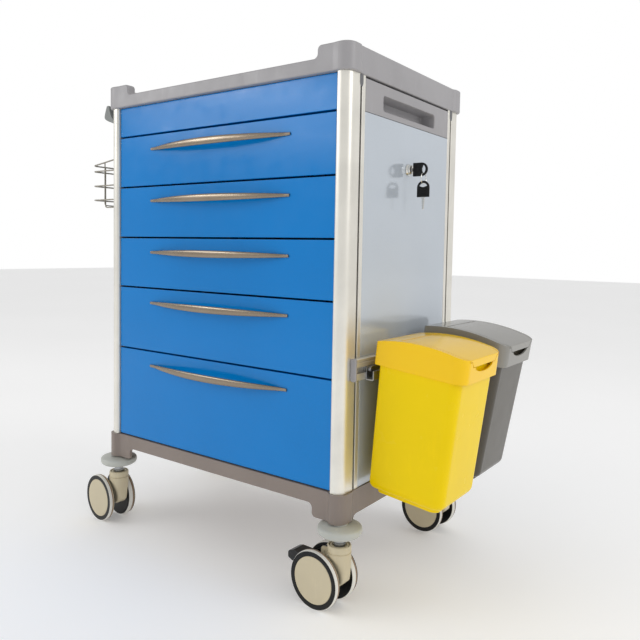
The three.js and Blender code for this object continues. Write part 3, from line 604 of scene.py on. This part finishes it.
CORNERS = [
    ("front_right", 1, False),
    ("front_left", -1, False),
    ("rear_right", 1, True),
    ("rear_left", -1, True),
]
for corner, side, rear in CORNERS:
    there = quarter(side, rear)
    place(f"column_{corner}_look", column(), "cabinet", COLUMN, there, f"column_{corner}")
    # A black strip of painted shade fills the bottom of each column's groove.
    place(f"painted_groove_shade_{corner}", painted_groove_shade(), "cabinet", BLACK, there)
    place(f"groove_plug_{corner}", groove_plug(), "cabinet", PLUG, there)

dress("side_panel_right", SILVER, 1.1, 3)
dress("side_panel_left", SILVER, 1.1, 3)
dress("back_panel", SILVER, 1.1, 3)
for node in ("runner_frame_right", "runner_frame_left", "lock_bar", "lock_cam"):
    dress(node, ZINC, 0.4, 1)


def grip_panel():
    """Right-hand moulding with a finger recess, open outwards."""
    face, back = HALF, HALF - 30
    y0, y1, z0, z1 = 105, 301, 852, 877.5
    around = soften(prism(rounded(*PANEL_Y, 841.4, 896, 1.5), "x", face - 3, face), 0.9, 2)
    grown = 2.5
    tub = prism(rounded(y0 - grown, y1 + grown, z0 - grown, z1 + grown, 8), "x", back - 2.2, face - 1)
    # Sections of the recess from the face inwards: x, inset, corner radius.
    sections = [(face + 4, -1.8, 6), (face + 0.4, -1.5, 6), (face - 1, -0.4, 5.4), (face - 3, 0, 5)]
    sections += [(back + 4, 1.2, 4), (back + 1, 2, 3.6), (back, 4, 3)]
    loops = []
    for x, inset, radius in sections:
        loops.append([(x, y, z) for y, z in rounded(y0 + inset, y1 - inset, z0 + inset, z1 - inset, radius)])
    return carve(fuse(around, tub), loft(loops))


def push_handle():
    """Left-hand moulding whose lip sweeps out and up beside the top."""
    face = -HALF
    under = bezier((face, 845), (-311, 850), (-314, 862), (-322, 871), 10)
    under += bezier((-322, 871), (-328, 878), (-345, 880), (-356, 886), 10)
    nose = bezier((-356, 886), (-362.5, 889), (-363, 893), (-361, 899), 6)
    rise = bezier((-361, 899), (-359, 905), (-357, 909), (-355.5, 913), 5)
    crest = bezier((-355.5, 913), (-354, 918.5), (-346.5, 918.5), (-345, 913), 8)
    inside = bezier((-345, 913), (-343, 901), (-338, 889), (-330, 885), 8)
    inside += bezier((-330, 885), (-322, 881), (-314, 882), (face, 883), 8)
    lip = prism([(face, 845)] + under + nose + rise + crest + inside, "y", 18, DEPTH - 18)
    lip = soften(lip, 4, 4, 60)
    plate = soften(prism(rounded(*PANEL_Y, 841.4, 896, 1.5), "x", face, face + 3), 0.9, 2)
    return fuse(plate, turned(lip, move(x=0.4)))


place("grip_panel_look", grip_panel(), "cabinet", RIM, replaces="grip_panel_right")
place("push_handle_look", push_handle(), "cabinet", HANDLE_GREY, replaces="push_handle_left")


# ---------------------------------------------------------------- drawers
for number in range(1, 6):
    dress(f"drawer_{number}_front", BLUE, 1.3, 3)
    dress(f"drawer_{number}_tray", ZINC, 0.5, 2)
dress("top_fascia", BLUE, 1.3, 3)

HANDLE_MID, HANDLE_HALF, FOOT = 1.5, 182.5, 19


def bow_handle(level):
    """A bow that leaves its flat feet in one sweep, deepest and tallest in the middle."""
    loops = []
    stations = 56
    for k in range(stations + 1):
        share = -math.cos(math.pi * k / stations)
        x = HANDLE_MID + HANDLE_HALF * share
        out = (x - HANDLE_MID) / (HANDLE_HALF - 0.7 * FOOT)
        into = (x - HANDLE_MID) / (HANDLE_HALF - FOOT)
        if abs(out) < 1:
            outer = -2.1 * (1 + out * out) - 26 * (1 - out * out)
        else:
            outer = -2.6 - 1.6 * (1 - abs(share)) / 0.073
        inner = -0.3 if abs(into) >= 1 else -0.15 * (1 + into * into) - 22 * (1 - into * into)
        tall = 2.5 + 4.5 * (1 - share * share)
        shrink = 0.82 if k in (0, stations) else 1
        ring = []
        sides = 24
        for s in range(sides):
            angle = 2 * math.pi * s / sides
            c, n = math.cos(angle), math.sin(angle)
            # The face towards the user is domed, the hidden one nearly flat.
            power = 0.9 if c < 0 else 0.45
            y = (inner + outer) / 2 + (inner - outer) / 2 * math.copysign(abs(c) ** power, c) * shrink
            z = level + tall * math.copysign(abs(n) ** 0.8, n) * shrink
            ring.append((x, y, z))
        loops.append(ring)
    return loft(loops)


for number in range(1, 6):
    low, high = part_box(f"drawer_{number}_handle")
    level = (low.z + high.z) / 2 / MM
    place(f"handle_{number}_bow", bow_handle(level), f"drawer_{number}", NICKEL,
          replaces=f"drawer_{number}_handle", smooth=math.radians(60))


# ---------------------------------------------------------------- lock and keys
LOCK_Y, LOCK_Z = 199, 759.5
NOSE = 314.5


def lock_barrel():
    profile = [(4.2, 290), (8.2, 290), (8.2, 305.9), (10.8, 305.9), (10.8, 307.4), (10.2, 308.8), (9.3, 309.6),
               (9.1, 312.6), (8.4, 314), (7, 314.5), (5, 314.4), (4.2, 313.6)]
    return lathe([(r, h) for r, h in profile], "x", (0, LOCK_Y, LOCK_Z), 48)


def key_bow(start):
    """Ribbed bow of a key, round at its far end, with a curved slot for the ring."""
    long, high, thick, half = 30, 25, 3, 12.5
    edge = [(start, -half), (start + long - half, -half)]
    for k in range(1, 18):
        angle = math.radians(-90 + 10 * k)
        edge.append((start + long - half + half * math.cos(angle), half * math.sin(angle)))
    edge += [(start + long - half, half), (start, half)]
    body = soften(prism(edge, "y", -thick / 2, thick / 2), 0.7, 3)
    centre = start + long - half
    slot = []
    for radius, angles in ((9.3, range(-64, 65, 8)), (1.9, range(38, -39, -19))):
        for angle in map(math.radians, angles):
            slot.append((centre - 1 + radius * math.cos(angle), radius * math.sin(angle)))
    cutters = [prism(slot, "y", -thick, thick)]
    for side in (-1, 1):
        cutters.append(block(start + 3, start + 13.6, *sorted((side * 1.05, side * 3)), -9, 9))
    body = carve(body, *cutters)
    ribs = []
    for side in (-1, 1):
        for k in range(4):
            x = start + 4.3 + 2.5 * k
            ribs.append(soften(block(x, x + 1.3, *sorted((side * 0.8, side * 1.45)), -8.2, 8.2), 0.3, 2))
    return joined(body, *ribs)


def key_blade(start, length):
    """Milled blade that tapers to its tip, running back from the bow."""
    half, thick = 3.25, 1.1
    edge = [(start, -half), (start, half)]
    teeth = [(6.5, 1.7), (8, 2.6), (10, 1.5), (12, 2.4), (14, 1.2), (16, 2.2), (18.5, 1.4)]
    if length > 10:
        edge += [(start - 3, half), (start - 4, 2.5)] + [(start - d, v) for d, v in teeth]
        edge += [(start - length + 1.5, 1.6), (start - length, 0)]
        edge += [(start - length + 1.5, -1.6), (start - 4, -2.6), (start - 3, -half)]
    else:
        edge += [(start - length, half), (start - length, -half)]
    blade = prism(edge, "y", -thick, thick)
    groove = block(start - length - 1, start - 3, 0.7, 2, -0.5, 0.6)
    return soften(carve(blade, groove), 0.2, 1)


BOW_START = NOSE + 2
EYE = BOW_START + 21.75
RING_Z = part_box("key_ring")
RING_Z = (RING_Z[0].z + RING_Z[1].z) / 2 / MM
_, spare_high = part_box("spare_key")
lock_at = move(y=LOCK_Y, z=LOCK_Z)
# The spare key hangs with its bow up: its own +X runs up from the blade's end.
SPARE_TOP = spare_high.z / MM
spare_at = move(EYE, LOCK_Y, SPARE_TOP) @ turn(-90, "Y")

place("lock_barrel_look", lock_barrel(), "cabinet", CHROME, replaces="lock_barrel")
place("lock_key_bow", key_bow(BOW_START), "key", BLACK, lock_at, "lock_key")
place("lock_key_blade", key_blade(BOW_START + 0.5, 2.2), "key", CHROME, lock_at)
place("spare_key_bow", key_bow(-30), "spare_key_body", BLACK, spare_at, "spare_key")
place("spare_key_blade", key_blade(-29.5, 23.5), "spare_key_body", CHROME, spare_at)
ring_turns = [math.pi * k / 24 for k in range(48)]
circle = [(EYE, LOCK_Y + 10 * math.cos(a), RING_Z + 10 * math.sin(a)) for a in ring_turns]
place("key_ring_wire", tube(circle, 0.72, 8, True), "key_ring_body", CHROME, replaces="key_ring")


# ---------------------------------------------------------------- rail and carrier
def side_rail():
    """C-section whose slot faces outwards, with rounded lips and a bead along its top."""
    face, out, low, high = HALF + 0.3, 317, 390, 427
    edge = outline(
        [
            (face, low, 0.8), (out, low, 2), (out, 402, 0.9), (out - 3, 402, 0.4), (out - 3, 397, 0.4),
            (face + 3, 397, 0.4), (face + 3, 417, 0.4), (out - 3, 417, 0.4), (out - 3, 412, 0.4),
            (out, 412, 0.9), (out, 419.5, 0.5), (out - 0.9, 420, 0.3), (out - 0.9, 421.2, 0.3), (out, 421.7, 0.5),
            (out, high, 2.2), (face, high, 0.8),
        ],
        4,
    )
    return prism(edge, "y", 20, 396)


def rail_cap(front):
    return soften(prism(rounded(HALF + 0.3, 318, 389, 428, 4), "y", front, front + 5), 1.3, 3)


def bin_carrier():
    """Folded strip with an upturned edge for the bins, and the bolts that clamp it in the rail's slot."""
    near, edge, low = 317.3, 333, 389
    section = outline(
        [
            (near, low, 2.4), (edge, low, 2.4), (edge, 405.6, 0.7), (edge - 2, 405.6, 0.7),
            (edge - 2, low + 2, 0.6), (near + 2, low + 2, 0.6), (near + 2, 411.6, 0.7), (near, 411.6, 0.7),
        ],
        4,
    )
    strip = soften(prism(section, "y", 47, 372), 0.4, 2, 60)
    parts = [strip]
    for y in (58, 355):
        head = [(0, near + 1.5), (4.4, near + 1.5), (4.4, near + 4), (3.6, near + 5), (0, near + 5.2)]
        parts.append(lathe(head, "x", (0, y, 406.5), 28))
        parts.append(block(309.6, 313.6, y - 7, y + 7, 398, 416))
        parts.append(block(313, near + 1, y - 3, y + 3, 404, 410))
    return joined(*parts)


place("side_rail_look", side_rail(), "cabinet", RAIL, replaces="side_rail")
place("rail_cap_front_look", rail_cap(14.7), "cabinet", RIM, replaces="rail_cap_front")
place("rail_cap_rear_look", rail_cap(396.3), "cabinet", RIM, replaces="rail_cap_rear")
place("bin_carrier_look", bin_carrier(), "cabinet", ZINC, replaces="bin_carrier")


# ---------------------------------------------------------------- wire basket
def wire_basket():
    outer, inner, y0, y1, low = -418, -314, 30, 270, 697.2
    radius = 1.6
    wires = []

    def frame_wire(z_outer, z_inner):
        plan = rounded(outer, inner, y0, y1, 7, 5)
        path = [(x, y, z_outer + (z_inner - z_outer) * (x - outer) / (inner - outer)) for x, y in plan]
        wires.append(tube(path, radius, 10, True))

    for z in (712, 744, 777):
        frame_wire(z, z)
    frame_wire(790, 804)
    for k in range(5):
        y = y0 + 30 + 45 * k
        path = [(outer + 2.6, y, 790), (outer + 2.6, y, low), (inner - 2.6, y, low), (inner - 2.6, y, 803)]
        wires.append(tube(bent(path, 6), 1.35, 8))
    for x in (-380, -346):
        top = 790 + 14 * (x - outer) / (inner - outer)
        path = [(x, y0 + 2.6, top), (x, y0 + 2.6, low + 2), (x, y1 - 2.6, low + 2), (x, y1 - 2.6, top)]
        wires.append(tube(bent(path, 6), 1.35, 8))
    for y in (70, 230):
        wires.append(soften(prism(rounded(y - 9, y + 9, 764, 790, 3), "x", -314, -306.2), 0.6, 2))
    return joined(*wires)


place("wire_basket_look", wire_basket(), "cabinet", WIRE, replaces="wire_basket",
      smooth=math.radians(60))


# ---------------------------------------------------------------- bins
HALF_X, HALF_Y, BIN_CORNER, NEAR_CORNER = 81.4, 76.1, 22, 5
SKIRT, DOME, FLAP_THICK = 39.5, 10, 3
HINGE, FLAP_Y = -38, 66
BODY_X, BODY_Y, BODY_TALL = 72.5, 72.7, 223


def bin_plan(half_x, half_y, far, near, steps=8):
    """Plan with soft corners on the outer side and tight ones on the cabinet's side."""
    right = [(half_x, -half_y, far), (half_x, half_y, far)]
    return outline([(-half_x, -half_y, near), *right, (-half_x, half_y, near)], steps)


def dome_z(x):
    return SKIRT + DOME * (1 - (x / HALF_X) ** 2)


def under_dome(x0, x1, drop, low):
    """Solid below the domed top less drop, down to low."""
    steps = 14
    top = []
    for k in range(steps + 1):
        x = x1 + (x0 - x1) * k / steps
        top.append((x, dome_z(x) - drop))
    return prism([(x0, low), (x1, low)] + top, "y", -90, 90)


def lid_form():
    """Outer form of collar and flap together, with soft edges."""
    form = common(prism(bin_plan(HALF_X, HALF_Y, BIN_CORNER, NEAR_CORNER, 10), "z", 0, 70),
                  under_dome(-HALF_X - 2, HALF_X + 2, 0, -5))
    top = soften(form, 2.6, 4, 40, lambda p: p.z > 20)
    return soften(top, 0.8, 2, 60, lambda p: p.z < 5)


def flap_zone(grow):
    """Room taken by the flap: its plate under the dome and its lip over the outer face."""
    hinge = HINGE - 2.2 if grow > 0 else HINGE - grow
    edge = outline(
        [
            (hinge, -FLAP_Y - grow, 0.2), (HALF_X + grow + 4, -FLAP_Y - grow, BIN_CORNER),
            (HALF_X + grow + 4, FLAP_Y + grow, BIN_CORNER), (hinge, FLAP_Y + grow, 0.2),
        ],
        10,
    )
    plan = prism(edge, "z", 10, 75)
    plate = carve(plan, under_dome(-90, 120, FLAP_THICK + grow, 0))
    lip = prism(
        outline(
            [
                (-44 - grow, 27 - grow, 3), (44 + grow, 27 - grow, 3), (54 + grow, SKIRT, 0),
                (54 + grow, 58, 0), (-54 - grow, 58, 0), (-54 - grow, SKIRT, 0),
            ]
        ),
        "x",
        HALF_X - 2.6 - grow,
        HALF_X + 4,
    )
    return fuse(plate, lip)


def bin_flap():
    return soften(common(lid_form(), flap_zone(-0.25)), 0.7, 3, 50)


def bin_collar():
    skin = 3
    room = prism(bin_plan(HALF_X - skin, HALF_Y - skin, BIN_CORNER - skin, NEAR_CORNER - skin), "z", -2, 70)
    hollow = common(room, under_dome(-HALF_X, HALF_X, FLAP_THICK + 2.5, -4))
    mouth = prism(rounded(HINGE + 5, HALF_X - 12, -FLAP_Y + 6, FLAP_Y - 6, 12), "z", 20, 80)
    turns = [math.pi * (1 + k / 16) for k in range(17)]
    moon = [(38 * math.cos(a), 28 + 12 * math.sin(a)) for a in turns]
    finger = prism(moon, "x", HALF_X - 4.5, HALF_X + 3)
    return soften(carve(lid_form(), hollow, flap_zone(0.8), mouth, finger), 0.4, 2, 50)


def bin_body(hook_z):
    """Tapering body with a rolled bottom edge and a foot, hollow from the top."""

    def section(z, inset, far, near):
        depth = max(0, -z) / BODY_TALL
        plan = bin_plan(BODY_X * (1 - 0.06 * depth) - inset, BODY_Y * (1 - 0.055 * depth) - inset, far, near, 7)
        return [(x, y, z) for x, y in plan]

    loops = [section(-214, 16, 10, 6), section(-213.4, 7, 12, 5), section(-208, 2.8, 15, 3)]
    loops += [section(z, 2.5, 15.5, 2.5) for z in (-150, -100, -50, 0)]
    loops += [section(29.2, 2.4, 15.5, 2.6), section(29.8, 1.6, 16, 3.4), section(29.8, 0.8, 17, 4.2)]
    loops += [section(29.2, 0.1, 18, 5)] + [section(z, 0, 18, 5) for z in (0, -50, -100, -150, -203)]
    for k in range(1, 7):
        angle = math.radians(15 * k)
        inward = 1 - math.cos(angle)
        loops.append(section(-203 - 13 * math.sin(angle), 9 * inward, 18 - 3 * inward, 5 + 3 * inward))
    loops += [section(-216.4, 10.5, 14, 8), section(-221.8, 11, 14, 8), section(-223, 12, 13.5, 8)]
    loops.append(section(-223, 18, 10, 6))
    shell = loft(loops)
    top = hook_z + 3
    lip, wall = -86.8, -71.4
    edge = [(lip, top), (lip, hook_z - 9), (lip + 2.4, hook_z - 9), (lip + 2.4, hook_z)]
    edge += [(wall, hook_z), (wall, top)]
    return fuse(shell, soften(prism(edge, "y", -30, 30), 0.5, 2))


# How each bin hangs: x, y, z of its collar's lower edge, its tilt, and the underside of its hook.
for kind, spot, tilt, hook_z, body_paint, lid_paint, slot in (
    ("yellow", (414.3, 121.5, 409.6), 6.2, -12.3, YELLOW, YELLOW_LID, "yellow_plastic"),
    ("grey", (413.8, 291, 417.9), 8.8, -24.1, BIN_GREY, LID_GREY, "bin_grey"),
):
    there = move(*spot) @ turn(tilt, "Y")
    place(f"{kind}_bin_tub", bin_body(hook_z), f"{kind}_bin", body_paint, there, f"{kind}_bin_body")
    place(f"{kind}_bin_rim", bin_collar(), f"{kind}_bin", lid_paint, there, f"{kind}_bin_collar")
    place(f"{kind}_bin_lid", bin_flap(), f"{kind}_bin_flap_body", lid_paint, there, f"{kind}_bin_flap")


# ---------------------------------------------------------------- casters
TRAIL, WHEEL_R = 30.4, 50
AXLE = (TRAIL, 0, WHEEL_R)
FACE = 33.8  # outer face of a wheel, from the fork's middle


def bumper():
    profile = [
        (0, 128), (27, 128), (33, 129.2), (36.8, 132), (38.2, 135.4), (38.3, 139.6), (37.8, 142), (36.2, 143.9),
        (32, 145.3), (24, 146.4), (14, 146.9), (14, 149.2), (0, 149.2),
    ]
    return lathe(profile, "z", (0, 0, 0), 64)


def stem_ring():
    """Metal stem between the fork's head and the bumper."""
    return lathe([(0, 106), (9.4, 106), (9.4, 112.6), (10.8, 113.6), (10.8, 115.6), (9.4, 116.6), (9.4, 127.8),
                  (0, 127.8)], "z")


def caster_fork(braked, shift):
    head = 20.4
    crown = lathe(
        [
            (0, 92), (head, 92), (head, 99), (head - 1.1, 99.5), (head - 1.1, 100.7), (head, 101.2), (head, 110),
            (head - 0.7, 111.5), (head - 1.8, 112), (head - 2.6, 111.8), (head - 3, 111), (head - 3.2, 108.4),
            (16.4, 108.2), (16.2, 110.8), (15.6, 111.3), (13, 111.3), (12.4, 110.8), (12.2, 106.4), (0, 106.4),
        ],
        "z",
    )
    # Level sections of the leg: height, heel, toe, half width, corner radius.
    levels = [
        (94, -20.4, 20.4, 20.35, 20.3),
        (88, -20.3, 23, 19, 17),
        (80, -19.8, 28, 16.5, 13),
        (70, -19, 33, 13.5, 9),
        (60, -18, 40, 12, 6),
        (52, -16.6, 43, 11.5, 5),
        (46, -14, 42.6, 11.5, 4),
        (41, -8, 39, 11.4, 4),
        (38.4, -2, 35, 11, 4),
    ]
    loops = []
    for z, back, ahead, half, radius in levels:
        # The lower end is cut off aslant, rising towards the heel of the leg.
        slant = 0.12 if z < 47 else 0
        plan = rounded(back, ahead, -half, half, radius, 7)
        loops.append([(x, y, z - slant * (x - 10)) for x, y in plan])
    leg = loft(loops)
    tools = [lathe([(0, a), (WHEEL_R + 1.4, a), (WHEEL_R + 1.4, b), (0, b)], "y", AXLE, 64)
             for a, b in ((16.2, 36), (-36, shift - 16.4))]
    if braked:
        tools.append(block(14, 60, -6, 6, 84, 106))
    whole = carve(fuse(crown, leg), *tools)
    if braked:
        for side in (-1, 1):
            ear = prism(outline([(12, 87, 2), (31, 87, 4), (33, 96, 5), (31, 102, 4), (12, 102, 2)]), "y",
                        *sorted((side * 6, side * 9)))
            whole = fuse(whole, ear)
        pin = lathe([(0, -10), (2.3, -10), (2.3, 10), (0, 10)], "y", (27, 0, 96), 20)
        whole = fuse(whole, pin)
    return soften(whole, 0.9, 2, 50)


def wheel_pair(near, far, shift, steps=72):
    """A ring on each wheel, from (radius, distance from the fork's middle). The far one moves inwards."""
    return joined(lathe(near, "y", AXLE, steps), lathe([(r, shift - y) for r, y in far], "y", AXLE, steps))


# The two treads aren't mirrored. Points are (radius, distance from the fork's middle).
def tyres(shift):
    """The broad white band of each tread."""
    near = [(46.3, 32.8), (48.7, 32.9), (49.5, 31.8), (49.9, 30), (50, 27), (46.3, 27)]
    far = [(46.3, 27), (50, 27), (49.9, 22), (49.5, 20), (48.6, 18.8), (46.3, 18.8)]
    return wheel_pair(near, far, shift)


def tread_lines(shift):
    near = [(46.3, 26.9), (49.9, 26.9), (50, 25.8), (49.9, 24.6), (46.3, 24.6)]
    far = [(46.3, 30.6), (49.2, 30.6), (49.8, 28.8), (49.9, 27.1), (46.3, 27.1)]
    return wheel_pair(near, far, shift)


def edge_bands(shift):
    near = [(46.3, 24.5), (49.8, 24.5), (49.5, 23.4), (48.6, 22.2), (46.3, 22.2)]
    far = [(46.3, 32.8), (47.4, 32.9), (48.5, 32), (49.1, 30.7), (46.3, 30.7)]
    return wheel_pair(near, far, shift)


def wheel_rims(shift):
    def rim(inner, outer):
        return [
            (0, inner), (12, inner), (13.5, inner + 0.8), (38, inner + 1.3), (41, inner + 0.2),
            (47.6, inner + 0.1), (48.4, inner + 0.5), (48.2, inner + 1), (46.2, inner + 1.1),
            (46.2, outer - 1), (48.4, outer - 0.9), (48.7, outer - 0.5), (48.2, outer - 0.1),
            (42.2, outer), (41, outer - 0.2), (40.5, outer - 0.9), (0, outer - 1.4),
        ]

    return wheel_pair(rim(21.1, FACE), rim(17.7, FACE), shift)


def hub_discs(shift):
    def disc(face):
        edge = [(40.3, face - 1.5), (40.3, face - 0.8), (39.8, face - 0.2), (38.8, face)]
        return [(0, face - 1.5), *edge, (30, face), (0, face)]

    return wheel_pair(disc(FACE), disc(FACE), shift)


def axle_pin(shift):
    inner = shift - 17.9
    return lathe([(0, inner), (5.9, inner), (5.9, 21.3), (0, 21.3)], "y", AXLE, 28)


def brake_pedal():
    """Rounded paddle behind the wheels, on an arm that runs between them to its pivot."""
    x, z = 27, 96
    tip = [(93, 58, 6), (103, 62, 5), (106, 68, 3.5), (101, 75, 5), (92, 78, 6)]
    side_view = outline([(24, 92, 1.5), (58, 66, 8), *tip, (62, 78, 10), (30, 100, 1.5)], 6)
    plan = outline([(60, -14, 3), (106, -14, 4.5), (106, 14, 4.5), (60, 14, 3)], 8)
    paddle = common(prism(side_view, "y", -14, 14), prism(plan, "z", 50, 80))
    arm = prism(side_view, "y", -5.2, 5.2)
    eye = lathe([(0, -5.2), (4.7, -5.2), (4.7, 5.2), (0, 5.2)], "y", (x, 0, z), 28)
    bore = lathe([(0, -7), (2.6, -7), (2.6, 7), (0, 7)], "y", (x, 0, z), 20)
    return soften(carve(fuse(paddle, arm, eye), bore), 1.2, 3, 45)


CASTERS = [
    ("front_right", 1, False, 177, True),
    ("front_left", -1, False, 173.6, False),
    ("rear_right", 1, True, 174.5, False),
    ("rear_left", -1, True, 171, True),
]
for corner, side, rear, trailing, braked in CASTERS:
    stem = move(side * STEM_X, DEPTH - STEM_INSET if rear else STEM_INSET)
    there = stem @ turn(trailing, "Z")
    swivel, wheels = f"swivel_{corner}", f"wheels_{corner}"
    shift = 0 if rear else 4  # how much the far wheel sits nearer the fork
    place(f"bumper_{corner}_look", bumper(), "cabinet", BUMPER, stem, f"bumper_{corner}")
    place(f"stem_ring_{corner}", stem_ring(), "cabinet", ZINC, stem)
    fork = caster_fork(braked, shift)
    place(f"fork_{corner}", fork, swivel, CREAM, there, f"caster_fork_{corner}")
    place(f"tyres_{corner}", tyres(shift), wheels, TYRE, there, f"wheelset_{corner}")
    place(f"tread_lines_{corner}", tread_lines(shift), wheels, TREAD_LINE, there)
    place(f"edge_bands_{corner}", edge_bands(shift), wheels, CREAM, there)
    place(f"wheel_rims_{corner}", wheel_rims(shift), wheels, BLACK, there)
    place(f"hub_discs_{corner}", hub_discs(shift), wheels, CREAM, there)
    place(f"axle_{corner}", axle_pin(shift), wheels, ZINC, there)
    if braked:
        place(f"pedal_{corner}_look", brake_pedal(), f"pedal_{corner}", PEDAL, there,
              f"brake_pedal_{corner}")


# ---------------------------------------------------------------- camera, floor and light
def look_through():
    """The camera that the object is seen with: place, heading, dip and roll, and the small frame shift."""
    heading, dip, roll = math.radians(35.8), math.radians(3.27), math.radians(1.03)
    ahead = Vector((-math.sin(heading) * math.cos(dip), math.cos(heading) * math.cos(dip), -math.sin(dip)))
    level = Vector((math.cos(heading), math.sin(heading), 0))
    above = level.cross(ahead)
    right = level * math.cos(roll) + above * math.sin(roll)
    up = above * math.cos(roll) - level * math.sin(roll)
    data = bpy.data.cameras.new("camera")
    data.sensor_width = 36
    data.lens = 37.12
    data.shift_x, data.shift_y = -0.0042, -0.053
    camera = bpy.data.objects.new("camera", data)
    basis = Matrix((right, up, -ahead)).transposed().to_4x4()
    camera.matrix_world = Matrix.Translation(TO_ROW @ Vector((906, -899, 611))) @ basis
    bpy.context.scene.collection.objects.link(camera)
    bpy.context.scene.camera = camera


def area_light(name, at, aim, size, power, tint=(1, 1, 1)):
    data = bpy.data.lights.new(name, "AREA")
    data.shape = "RECTANGLE"
    data.size, data.size_y = size
    data.energy = power
    data.color = tint
    lamp = bpy.data.objects.new(name, data)
    lamp.location = at
    lamp.rotation_mode = "QUATERNION"
    lamp.rotation_quaternion = (Vector(aim) - Vector(at)).to_track_quat("-Z", "Y")
    bpy.context.scene.collection.objects.link(lamp)
    return lamp


look_through()

floor_mesh = bpy.data.meshes.new("floor")
reach = 14
square = [(-reach, -reach, 0), (reach, -reach, 0), (reach, reach, 0), (-reach, reach, 0)]
floor_mesh.from_pydata(square, [], [(0, 1, 2, 3)])
floor = bpy.data.objects.new("floor", floor_mesh)
bpy.context.scene.collection.objects.link(floor)
FLOOR = Paint("pale_floor")
cloud = FLOOR.remap(FLOOR.noise(0.8, 4), 0, 1)
FLOOR.set("Base Color", FLOOR.mix(cloud, (0.94, 0.94, 0.94, 1), (0.97, 0.97, 0.97, 1)))
FLOOR.shader.inputs["Roughness"].default_value = 0.75
FLOOR.shader.inputs["Emission Color"].default_value = (1, 1, 1, 1)
FLOOR.shader.inputs["Emission Strength"].default_value = 0.14
floor_mesh.materials.append(FLOOR.material)

world = bpy.data.worlds.new("studio")
bpy.context.scene.world = world
world.use_nodes = True
nodes, links = world.node_tree.nodes, world.node_tree.links
rays = nodes.new("ShaderNodeLightPath")
choice = nodes.new("ShaderNodeMixShader")
links.new(rays.outputs["Is Camera Ray"], choice.inputs["Fac"])
for socket, level in ((1, 0.68), (2, 1.0)):
    backdrop = nodes.new("ShaderNodeBackground")
    backdrop.inputs["Color"].default_value = (1, 1, 1, 1)
    backdrop.inputs["Strength"].default_value = level
    links.new(backdrop.outputs["Background"], choice.inputs[socket])
links.new(choice.outputs["Shader"], nodes["World Output"].inputs["Surface"])
nodes.remove(nodes["Background"])

area_light("key", (3.0, 0.5, 2.0), (0, 0, 0.5), (1.6, 1.6), 20)
area_light("fill", (-2.4, -2.4, 1.9), (0, 0, 0.5), (1.4, 0.5), 8)
area_light("streak_high", (-2.6, -2.5, 1.72), (0, 0, 0.8), (2.6, 0.05), 9)
area_light("streak_low", (-2.2, -2.9, 1.42), (0, 0, 0.8), (1.7, 0.03), 4)

scene = bpy.context.scene
scene.view_settings.view_transform = "Standard"
scene.view_settings.look = "None"
